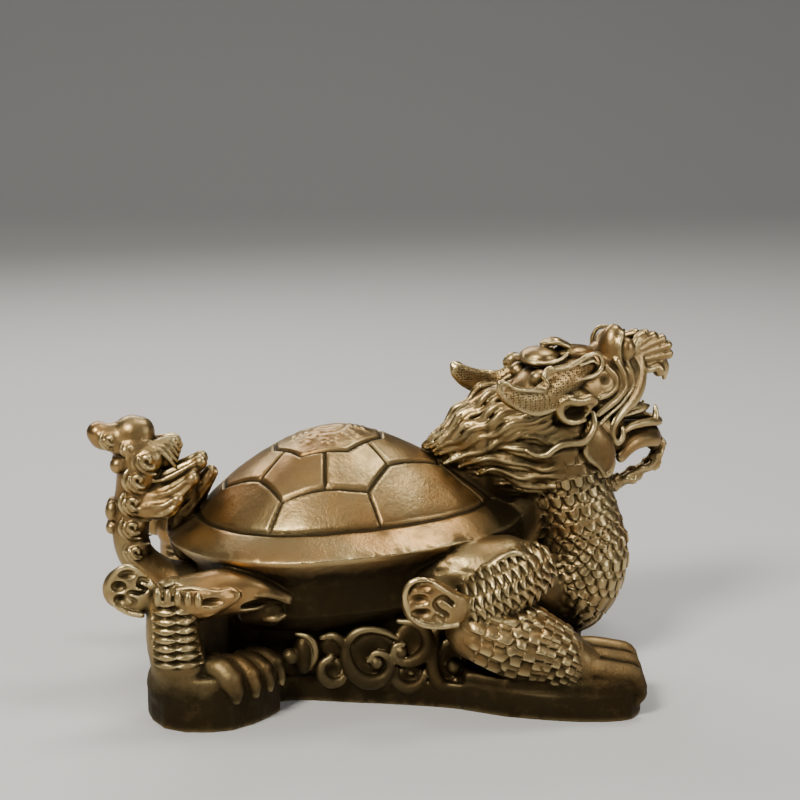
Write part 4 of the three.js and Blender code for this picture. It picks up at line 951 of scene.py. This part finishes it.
def tail(clay):
    """The tail rises clear of the shell: a stem of curls, a rolled tip, and leaves that reach the rim."""
    stem = [(-70, 0, 38, 9), (-86, 0, 41, 8), (-97, 0, 52, 7), (-98, 0, 66, 7.5), (-95, 0, 79, 8.5),
            (-94, 0, 92, 9), (-101, 0, 98, 6.5), (-108, 0, 99, 5)]
    limb(clay, stem, blend=1.2)
    for x, z, radii in ((-96.5, 100.5, (7.5, 7, 7)), (-109.6, 100.8, (4.6, 5, 4.4)), (-85, 92, (7, 6, 6.5)),
                        (-92.6, 100.6, (5, 6, 6))):
        ball(clay, (x, 0, z), radii, blend=1)
    for x, y, z, size in ((-96.8, 6.2, 95.6, 3.6), (-90.2, 6.2, 91, 5.8), (-94, 6.4, 83.4, 5.6),
                          (-96, 6, 74.2, 5.4), (-96.6, 5.4, 64.2, 5.2), (-95.6, 5, 54, 4.8),
                          (-104.6, 4.2, 99, 3.8)):
        curl(clay, x, y, z, size)
    both_balls(clay, (-102, 5, 88.6), (3.2, 3.2, 3.4), blend=0.3)
    both_balls(clay, (-105, 3.4, 69.8), (2.8, 3.2, 4.2), blend=0.3)
    both_balls(clay, (-105.4, 2.6, 63), (2.4, 3, 2.8), blend=0.3)
    for j in range(5):
        ridge = [
            (-90.6 + 1.5 * j, 5.6 - 0.7 * j, 97.4 + 0.3 * j, 0.6),
            (-84.6 + 1.3 * j, 6.8 - 1.1 * j, 94 + 1.1 * j, 0.9),
            (-79.8 + 0.6 * j, 5.6 - 1.1 * j, 88 + 1.7 * j, 0.7),
        ]
        both(clay, ridge, blend=0.15)
    both(clay, [(-98.6, 6.8, 92.4, 0.7), (-103.6, 5.4, 92.8, 0.9), (-108.6, 3.8, 94.8, 0.8)], blend=0.5,
         carve=True)
    for rows in (
        [(-90, 3, 78, 5), (-79, 4, 83, 4.2), (-70, 4, 89, 2.4)],
        [(-90, 6, 74, 4.5), (-81, 8, 77, 4), (-73, 9, 83.5, 2.4)],
        [(-92, 7, 71, 4), (-84, 10, 72, 3.6), (-79, 10, 75.5, 2.2)],
    ):
        both(clay, rows, flat=0.7, blend=0.5, skin=leaf_ridges)
        both_balls(clay, rows[-1][:3], rows[-1][3] * 1.15, blend=0.4)
    limb(clay, [(-66, 0, 84, 2.6), (-73, 0, 74, 4.5), (-78, 0, 64, 5.5), (-76, 0, 54, 6)], blend=1,
         skin=hair(7, 0.9))
    limb(clay, [(-84, 0, 78, 5), (-74, 0, 77, 5)], blend=1)


def sculpt():
    clay = Clay(BLOCK_LOW, BLOCK_HIGH)
    for part in (plinth, core, shell, tail, neck, front_legs, rear_legs, toes, tufts, clouds, mane, skull,
                 jaws, cheek_ribs, nose_fan, eyes, ears, horns_and_crest):
        part(clay)
    whole, (_, _, z) = clay.window(clay.low, clay.low + STEP * np.array(clay.field.shape))
    clay.field[whole] = np.maximum(clay.field[whole], -z)
    return clay


# Mesh

def enlarge_near(points):
    """Draws the right side larger than the left, so that its relief keeps more facets."""
    x, y, z = points.T
    larger = np.exp(-NEAR_GAIN * y)
    return np.stack([x * larger, (1 - larger) / NEAR_GAIN, z * larger], 1)


def shrink_near(points):
    """Undoes enlarge_near."""
    x, y, z = points.T
    larger = 1 - NEAR_GAIN * y
    return np.stack([x / larger, -np.log(larger) / NEAR_GAIN, z / larger], 1)


def put_in_scene(name, data):
    """A new object in the scene."""
    item = bpy.data.objects.new(name, data)
    bpy.context.scene.collection.objects.link(item)
    return item


def skin_mesh(clay):
    """The clay's surface as one light mesh, in drawn millimetres."""
    grid = openvdb.FloatGrid(FAR)
    grid.copyFromArray(clay.field)
    grid.transform = openvdb.createLinearTransform(voxelSize=STEP)
    points, _, quads = grid.convertToPolygons(isovalue=0, adaptivity=0)
    mesh = bpy.data.meshes.new("dragon_turtle_cast")
    points = enlarge_near(points + clay.low)
    faces = np.vstack([quads[:, [0, 1, 2]], quads[:, [0, 2, 3]]])
    mesh.vertices.add(len(points))
    mesh.vertices.foreach_set("co", points.astype(np.float32).ravel())
    mesh.loops.add(faces.size)
    mesh.loops.foreach_set("vertex_index", faces.ravel().astype(np.int32))
    mesh.polygons.add(len(faces))
    mesh.polygons.foreach_set("loop_start", np.arange(0, faces.size, 3, dtype=np.int32))
    mesh.update(calc_edges=True)
    piece = put_in_scene("dragon_turtle_cast", mesh)
    light = piece.modifiers.new("light", "DECIMATE")
    light.ratio = min(1.0, MOST_FACETS / len(faces))
    depsgraph = bpy.context.evaluated_depsgraph_get()
    thinned = bpy.data.meshes.new_from_object(piece.evaluated_get(depsgraph))
    piece.modifiers.clear()
    piece.data = thinned
    bpy.data.meshes.remove(mesh)
    thinned.vertices.foreach_set("co", shrink_near(points_of(thinned)).ravel())
    thinned.name = "dragon_turtle_cast"
    return piece


def points_of(mesh):
    points = np.empty(len(mesh.vertices) * 3, np.float32)
    mesh.vertices.foreach_get("co", points)
    return points.reshape(-1, 3)


def keep_largest(piece):
    """Drops the specks of surface that hang on nothing."""
    made = bmesh.new()
    made.from_mesh(piece.data)
    seen, groups = set(), []
    for start in made.verts:
        if start in seen:
            continue
        group, stack = [], [start]
        seen.add(start)
        while stack:
            vert = stack.pop()
            group.append(vert)
            for edge in vert.link_edges:
                other = edge.other_vert(vert)
                if other not in seen:
                    seen.add(other)
                    stack.append(other)
        groups.append(group)
    groups.sort(key=len)
    for group in groups[:-1]:
        bmesh.ops.delete(made, geom=group, context="VERTS")
    made.to_mesh(piece.data)
    made.free()


def keep_values(mesh, name, values):
    layer = mesh.attributes.new(name, "FLOAT", "POINT")
    layer.data.foreach_set("value", values.astype(np.float32))


def occupancy(clay, radius):
    """The share of metal round each point, on a grid twice as coarse."""
    filled = np.clip(0.5 - clay.field / STEP, 0, 1)
    shape = [n // 2 * 2 for n in filled.shape]
    filled = filled[:shape[0], :shape[1], :shape[2]]
    filled = filled.reshape(shape[0] // 2, 2, shape[1] // 2, 2, shape[2] // 2, 2).mean((1, 3, 5))
    width = max(int(round(radius / (2 * STEP))), 1)
    for _ in range(2):
        for axis in range(3):
            padded = np.pad(filled, [(width + 1, width) if k == axis else (0, 0) for k in range(3)],
                            mode="edge")
            summed = np.cumsum(padded, axis=axis, dtype=np.float64)
            upper = np.take(summed, range(2 * width + 1, summed.shape[axis]), axis)
            lower = np.take(summed, range(0, summed.shape[axis] - 2 * width - 1), axis)
            filled = ((upper - lower) / (2 * width + 1)).astype(np.float32)
    return filled


def sample_coarse(filled, clay, points):
    place = (points - clay.low) / (2 * STEP) - 0.25
    return trilinear(filled, place)


def near_bar(points, rows, place, reach):
    """One on a bar's surface, fading to nothing at a reach from it."""
    path = smooth_path(rows)
    centres, radii = place(path[:, :3]), path[:, 3]
    least = np.full(len(points), FAR)
    for centre, radius in zip(centres, radii):
        least = np.minimum(least, np.linalg.norm(points - centre, axis=1) - radius)
    return 1 - ramp(least, 0.3, reach)


def trilinear(field, place):
    """The field's value at each place, in grid steps, from the eight grid points round it."""
    base = np.clip(np.floor(place).astype(int), 0, np.array(field.shape) - 2)
    share = np.clip(place - base, 0, 1).astype(np.float32)
    total = 0
    for corner in range(8):
        step = np.array([corner >> 2 & 1, corner >> 1 & 1, corner & 1])
        weight = np.prod(np.where(step, share, 1 - share), 1)
        total = total + weight * field[tuple((base + step).T)]
    return total


def bar_places(points, rows):
    """Length along a bar, turn round it and distance from its surface, as a skin sees them."""
    path = smooth_path(rows)
    nearest = np.full(len(points), FAR)
    along, turn = np.zeros(len(points)), np.zeros(len(points))
    thin = SIDEWAYS
    travelled = 0.0
    for start, end in zip(path, path[1:]):
        step = (end - start)[:3]
        length = np.linalg.norm(step)
        tangent = step / length
        thin = thin - tangent * (thin @ tangent)
        thin = thin / np.linalg.norm(thin)
        off = points - start[:3]
        ahead = np.clip(off @ tangent, 0, length)
        radius = start[3] + (end[3] - start[3]) * ahead / length
        distance = np.linalg.norm(off - ahead[:, None] * tangent, axis=1) - radius
        closer = distance < nearest
        nearest[closer] = distance[closer]
        along[closer] = travelled + ahead[closer]
        turn[closer] = np.arctan2(off @ thin, off @ np.cross(tangent, thin))[closer]
        travelled += length
    return along, turn, nearest


def scale_places(points):
    """The row and column of scales at each point, and where there are any."""
    along, turn, proud = bar_places(points, NECK)
    row, column = (NECK_END - along) / NECK_ROW, turn / (2 * math.pi) * NECK_COLUMNS
    from_front = (math.pi - np.abs(turn)) * NECK_RADIUS
    scaly = ramp(along, 26, 34) * ramp(from_front, THROAT, 5) * (1 - ramp(proud, 1.6, 2.6))
    for rows in mirrored(FOREARM):
        along, turn, proud = bar_places(points, rows)
        here = on_forearm(turn, points[:, 0]) * (1 - ramp(proud, 1, 1.8))
        nearer = here > scaly
        row = np.where(nearer, np.abs(turn) / (2 * math.pi) * FOREARM_ROWS, row)
        column = np.where(nearer, along / FOREARM_COLUMN, column)
        scaly = np.maximum(scaly, here)
    return row, column, scaly


def from_oval(points, centre, radii):
    """How far points lie from a place, as a share of the radii of an oval round it."""
    return np.sqrt((((points - centre) / radii)**2).sum(1))


def under_shell(points):
    """Painted shade under the shell: belly, clouds, the gap between shell and neck; half as much patina and
    painted shade on the mane.
    """
    x, y, z = points.T
    inside = ramp(rim_inset(x, y), 0.5, 6)
    below = ramp(rim_height(x) - z, 2.5, 8)
    by_neck = 1 - ramp(from_oval(points, (51, 0, 66), (14, 40, 14)), 0.7, 1.15)
    by_mane = 0.5 - 0.5 * ramp(from_oval(points, (68, 0, 88), (36, 60, 15)), 0.75, 1.1)
    return np.maximum.reduce([inside * below, by_neck, by_mane])


def plate_grooves(points):
    """Where the dome's grooves and the seam round it run."""
    x, y, z = points.T.astype(float)
    gap = distance_to_lines(x, y, plate_lines())
    gap = np.minimum(gap, np.abs(rim_inset(x, y) - BAND_WIDTH - 0.2))
    return np.exp(-(gap / 0.7)**2) * ramp(z - rim_height(x), 3, 5)


def pitted_places(points):
    """The flat sides of the horns."""
    pits = 0
    tine = [(-6, 14, 24, 4), (-18, 16, 18, 5), (-29, 19, 16.2, 4.6), (-41, 20.6, 21, 3.8)]
    prong = [(-10, 13.5, 25, 3), (-20, 15, 25, 2.8)]
    for rows in mirrored(tine, prong):
        pits = np.maximum(pits, near_bar(points, rows, in_head, 1.6))
    return pits


def grainy_places(points):
    """The feet, whose casting skin is rough."""
    grain = 0
    fore = [(70, 54, 12, 9.5), (92, 54.5, 12, 11)]
    hind = [(-79, 47, 13, 13), (-61, 50, 13, 11)]
    for rows in mirrored(fore, hind):
        grain = np.maximum(grain, near_bar(points, rows, drawn, 5))
    return grain


def shade(piece, clay):
    """Keeps what the finish depends on at each point."""
    mesh = piece.data
    points = points_of(mesh)
    near, wide = (sample_coarse(occupancy(clay, radius), clay, points) for radius in (NEAR_ROUND, WIDE_ROUND))
    # hollow and deep darken hollows as patina and painted shade; under is painted shade
    shades = (ramp(near, 0.53, 0.72), ramp(wide, 0.5, 0.8), under_shell(points), plate_grooves(points),
              pitted_places(points), grainy_places(points))
    for name, values in zip(SHADES, shades):
        keep_values(mesh, name, np.clip(values, 0, 1))
    for name, values in zip(("row", "column", "scaly"), scale_places(points)):
        keep_values(mesh, name, values)


def place_in_frame(piece):
    """From drawn millimetres to the figure's frame, standing on the floor plane."""
    mesh = piece.data
    points = points_of(mesh)
    points[:, 2] = np.where(points[:, 2] < 0.3 * STEP, 0, points[:, 2])
    points[:, 0] -= MIDDLE_X
    mesh.vertices.foreach_set("co", (points / 1000).ravel())
    mesh.polygons.foreach_set("use_smooth", np.ones(len(mesh.polygons), bool))
    mesh.update()


# Finish

YELLOW_BRASS = (0.30, 0.215, 0.095, 1)
RED_BRASS = (0.33, 0.185, 0.065, 1)
DULL_BRASS = (0.19, 0.12, 0.05, 1)
RUBBED_BRASS = (0.78, 0.62, 0.31, 1)
# Dark patina, which also stands for painted shade in recesses and under the shell
PATINA_AND_SHADE = (0.018, 0.013, 0.006, 1)


class Value:
    """A number or colour in a material; sums and products of it are nodes too."""

    def __init__(self, nodes, socket):
        self.nodes = nodes
        self.socket = socket

    def __add__(self, other):
        return self.nodes.math("ADD", self, other)

    def __sub__(self, other):
        return self.nodes.math("SUBTRACT", self, other)

    def __rsub__(self, other):
        return self.nodes.math("SUBTRACT", other, self)

    def __mul__(self, other):
        return self.nodes.math("MULTIPLY", self, other)

    def __mod__(self, other):
        return self.nodes.math("MODULO", self, other)

    def __pow__(self, other):
        return self.nodes.math("POWER", self, other)

    def __abs__(self):
        return self.nodes.math("ABSOLUTE", self)


class Nodes:
    """A short way to write a material's nodes."""

    def __init__(self, name):
        self.material = bpy.data.materials.new(name)
        self.material.use_nodes = True
        self.tree = self.material.node_tree
        self.shader = self.tree.nodes["Principled BSDF"]

    def feed(self, socket, value):
        if isinstance(value, Value):
            self.tree.links.new(value.socket, socket)
        else:
            socket.default_value = value

    def finish(self, **values):
        """Feeds the shader's sockets, whose names are given with _ for each space."""
        for name, value in values.items():
            self.feed(self.shader.inputs[name.replace("_", " ")], value)

    def add(self, kind, output, **values):
        """A node with its inputs fed, and the value that it gives."""
        node = self.tree.nodes.new("ShaderNode" + kind)
        for name, value in values.items():
            self.feed(node.inputs[name.replace("_", " ")], value)
        return node, Value(self, node.outputs[output])

    def attribute(self, name):
        node, value = self.add("Attribute", "Fac")
        node.attribute_name = name
        return value

    def place(self):
        return self.add("TexCoord", "Object")[1]

    def height(self):
        """How far above the floor, in metres."""
        return self.add("SeparateXYZ", "Z", Vector=self.place())[1]

    def noise(self, scale, detail, rough):
        return self.add("TexNoise", "Fac", Vector=self.place(), Scale=scale, Detail=detail,
                        Roughness=rough)[1]

    def cells(self, scale, uneven):
        return self.add("TexVoronoi", "Distance", Vector=self.place(), Scale=scale, Randomness=uneven)[1]

    def openness(self, reach, inside=False):
        """How much of the space within reach is free, outside the surface or inside it."""
        node, value = self.add("AmbientOcclusion", "AO", Distance=reach)
        node.only_local = True
        node.inside = inside
        node.samples = 8
        return value

    def math(self, operation, a, b=0.0, clamp=False):
        node = self.tree.nodes.new("ShaderNodeMath")
        node.operation = operation
        node.use_clamp = clamp
        self.feed(node.inputs[0], a)
        self.feed(node.inputs[1], b)
        return Value(self, node.outputs[0])

    def most(self, a, b):
        return self.math("MAXIMUM", a, b)

    def remap(self, value, low, high, to_low=0.0, to_high=1.0):
        return self.add("MapRange", "Result", Value=value, From_Min=low, From_Max=high,
                        To_Min=to_low, To_Max=to_high)[1]

    def mix(self, share, a, b):
        node = self.tree.nodes.new("ShaderNodeMix")
        node.data_type = "RGBA"
        for name, value in (("Factor", share), ("A", a), ("B", b)):
            self.feed(node.inputs[name], value)
        return Value(self, node.outputs["Result"])

    def bump(self, height, distance):
        return self.add("Bump", "Normal", Distance=distance, Strength=1.0, Height=height)[1]


def fine_scales(nodes):
    """The scales' fine relief and the dark line below each tip, in the places of the sculpted ones."""
    row, column, scaly = (nodes.attribute(name) for name in ("row", "column", "scaly"))
    whole = nodes.math("FLOOR", row)
    odd = whole % 2 * 0.5
    heights = []
    for back, shift in ((0, odd), (1, 0.5 - odd)):
        place = nodes.math("FRACT", column + shift + 0.5)
        aside = abs(place - 0.5) * 2
        from_root = row - whole + back
        heights.append((from_root * 0.5)**SCALE_CURVE - aside**2 * SCALE_CROWN)
    beyond = from_root - (2 - aside**SCALE_BLUNT * SCALE_BEND)
    cover = nodes.remap(beyond, -0.06, 0.06, 1, 0)
    height = heights[1] * cover + heights[0] * (1 - cover)
    line = nodes.remap(abs(beyond - 0.1), 0.04, 0.2, 1, 0) * nodes.remap(aside, 0.6, 1, 1, 0.35)
    return height * scaly, line * scaly


def brass_finish():
    """Aged brass: warm plates, rubbed bright edges, dark patina in hollows and painted shade in recesses and
    under the shell, darker towards the bottom, and grain.
    """
    nodes = Nodes("aged_brass")
    hollow, deep, under, grooves, pits, grain = (nodes.attribute(name) for name in SHADES)
    scale_height, scale_line = fine_scales(nodes)
    patches = nodes.noise(30, 4, 0.6)
    blotches = nodes.noise(140, 5, 0.65)
    speckle = nodes.noise(900, 3, 0.6)
    # Patina and painted shade in narrow crevices, and painted shade where the surface is enclosed within 30
    # mm
    crevice = nodes.remap(nodes.openness(0.0026), 0.5, 0.93, 1, 0)
    sheltered = nodes.remap(nodes.openness(0.03), 0.35, 0.8, 1, 0)
    edge = nodes.remap(nodes.openness(0.0012, inside=True), 0.6, 0.92, 1, 0)
    crest = nodes.remap(nodes.openness(0.003, inside=True), 0.45, 0.9, 1, 0)
    scale_tip = nodes.remap(scale_height, 0.45, 0.95, 0, 0.9)
    edge = nodes.most(nodes.most(edge, crest * 0.7), scale_tip)

    metal = nodes.mix(nodes.remap(patches, 0.4, 0.62), YELLOW_BRASS, RED_BRASS)
    metal = nodes.mix(nodes.remap(blotches, 0.45, 0.75, 0, 0.6), metal, DULL_BRASS)
    rubbed = edge * nodes.remap(blotches, 0.25, 0.6, 0.55, 1)
    metal = nodes.mix(rubbed * 0.9, metal, RUBBED_BRASS)

    # Darker towards the bottom: fully below 12 mm above the floor, not at all above 34 mm
    low = nodes.remap(nodes.height(), 0.012, 0.034, 1, 0)
    # Patina in hollows and grooves and the dark lines below scale tips, with painted shade in recesses and
    # under the shell
    patina_and_shade = nodes.most(crevice * 1.3, hollow * 1.1) + sheltered * 0.6 + deep * 0.5 + grooves * 0.8
    patina_and_shade = nodes.math("ADD", patina_and_shade + scale_line * 0.75 + low, under, clamp=True)
    patina_and_shade = nodes.math("MULTIPLY", patina_and_shade, nodes.remap(blotches, 0.2, 0.6, 0.85, 1.1), clamp=True)
    patina_and_shade = patina_and_shade * nodes.remap(edge, 0, 1, 1, 0.35)
    pitted = pits * nodes.remap(nodes.cells(1000, 0.35), 0.22, 0.42, 1, 0)
    pitted = pitted * nodes.remap(edge, 0.1, 0.5, 1, 0)
    dark = nodes.most(patina_and_shade, pitted * 0.85)

    relief = speckle * 0.3 + blotches * 0.6 + grain * speckle * 1.5 - pitted * 1.4 + scale_height * 1.6
    nodes.finish(
        Base_Color=nodes.mix(dark * 0.95, metal, PATINA_AND_SHADE),
        Roughness=nodes.remap(blotches, 0.3, 0.7, 0.3, 0.42) - rubbed * 0.1 + dark * 0.25 + grain * 0.1,
        Specular_IOR_Level=nodes.remap(dark, 0, 1, 0.5, 0.2),
        Metallic=nodes.remap(dark, 0, 1, 1, 0.95),
        Normal=nodes.bump(relief, 0.00035),
    )
    return nodes.material


# Studio

FLOOR_FRONT, FLOOR_SIDE = -4, 12
SWEEP_START, SWEEP_RADIUS, SWEEP_STEPS = 2, 1.5, 16
WALL_TOP = 6
PALE = (0.5, 0.49, 0.47, 1)
ROOM_COLOUR = (0.75, 0.77, 0.8, 1)
LAMP_TARGET = (0, 0, 0.07)
# Each lamp's name, place, size, power and colour
LAMPS = (
    ("key", (-0.55, -0.8, 1.0), (0.35, 0.25), 22, (1, 0.97, 0.9)),
    ("side", (1.1, -0.75, 0.55), (0.2, 0.5), 6, (0.95, 0.97, 1)),
    ("rim", (-0.3, 0.9, 0.8), (0.9, 0.25), 8, (1, 0.98, 0.95)),
    ("top", (0.45, 0.25, 1.3), (0.4, 0.4), 8, (1, 0.98, 0.94)),
)
CAMERA_YAW, CAMERA_PITCH = math.radians(5), math.radians(11.5)
CAMERA_PLACE = (-0.0485 - MIDDLE_X / 1000, -0.6578, 0.246)
SENSOR_WIDTH = 36
FOCAL_SHARE = 2.125  # the focal length as a share of the picture's width


def plain_material(name, colour, roughness):
    nodes = Nodes(name)
    nodes.finish(Base_Color=colour, Roughness=roughness)
    return nodes.material


def floor():
    """A pale floor that sweeps up behind the figure."""
    turns = [math.radians(90 * k / SWEEP_STEPS) for k in range(SWEEP_STEPS + 1)]
    sweep = [(SWEEP_START + SWEEP_RADIUS * math.sin(turn), SWEEP_RADIUS - SWEEP_RADIUS * math.cos(turn))
             for turn in turns]
    profile = [(FLOOR_FRONT, 0), *sweep, (SWEEP_START + SWEEP_RADIUS, WALL_TOP)]
    corners = [(x, y, z) for x in (-FLOOR_SIDE, FLOOR_SIDE) for y, z in profile]
    faces = [(k, k + len(profile), k + 1 + len(profile), k + 1) for k in range(len(profile) - 1)]
    mesh = bpy.data.meshes.new("floor")
    mesh.from_pydata(corners, [], faces)
    mesh.polygons.foreach_set("use_smooth", [True] * len(faces))
    mesh.materials.append(plain_material("pale_floor", PALE, 0.7))
    plane = put_in_scene("floor", mesh)


def lamp(name, place, size, power, colour):
    data = bpy.data.lights.new(name, "AREA")
    data.shape = "RECTANGLE"
    data.size, data.size_y = size
    data.energy = power
    data.color = colour
    item = put_in_scene(name, data)
    item.location = place
    item.rotation_euler = (Vector(LAMP_TARGET) - Vector(place)).to_track_quat("-Z", "Y").to_euler()


def studio():
    """Four lamps, a faint broad light from above and a pale room."""
    for values in LAMPS:
        lamp(*values)
    data = bpy.data.lights.new("overhead", "SUN")
    data.angle = math.radians(60)
    data.energy = 0.5
    put_in_scene("overhead", data)
    world = bpy.data.worlds.new("studio")
    bpy.context.scene.world = world
    world.use_nodes = True
    background = world.node_tree.nodes["Background"]
    background.inputs["Color"].default_value = ROOM_COLOUR
    background.inputs["Strength"].default_value = 0.16


def camera():
    """The photograph's viewpoint: a little above, from the figure's right, the tail end nearer."""
    forward = Vector((
        math.sin(CAMERA_YAW) * math.cos(CAMERA_PITCH),
        math.cos(CAMERA_YAW) * math.cos(CAMERA_PITCH),
        -math.sin(CAMERA_PITCH),
    ))
    right = Vector((math.cos(CAMERA_YAW), -math.sin(CAMERA_YAW), 0))
    up = right.cross(forward)
    data = bpy.data.cameras.new("camera")
    data.sensor_width = SENSOR_WIDTH
    data.lens = SENSOR_WIDTH * FOCAL_SHARE
    data.clip_start = 0.01
    item = put_in_scene("camera", data)
    rows = [(*axes, place) for *axes, place in zip(right, up, -forward, CAMERA_PLACE)]
    item.matrix_world = Matrix((*rows, (0, 0, 0, 1)))
    bpy.context.scene.camera = item


camera()
studio()
floor()
clay = sculpt()
casting = skin_mesh(clay)
keep_largest(casting)
shade(casting, clay)
place_in_frame(casting)
casting.data.materials.append(brass_finish())

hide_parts("dragon_turtle")
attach(casting, "root")
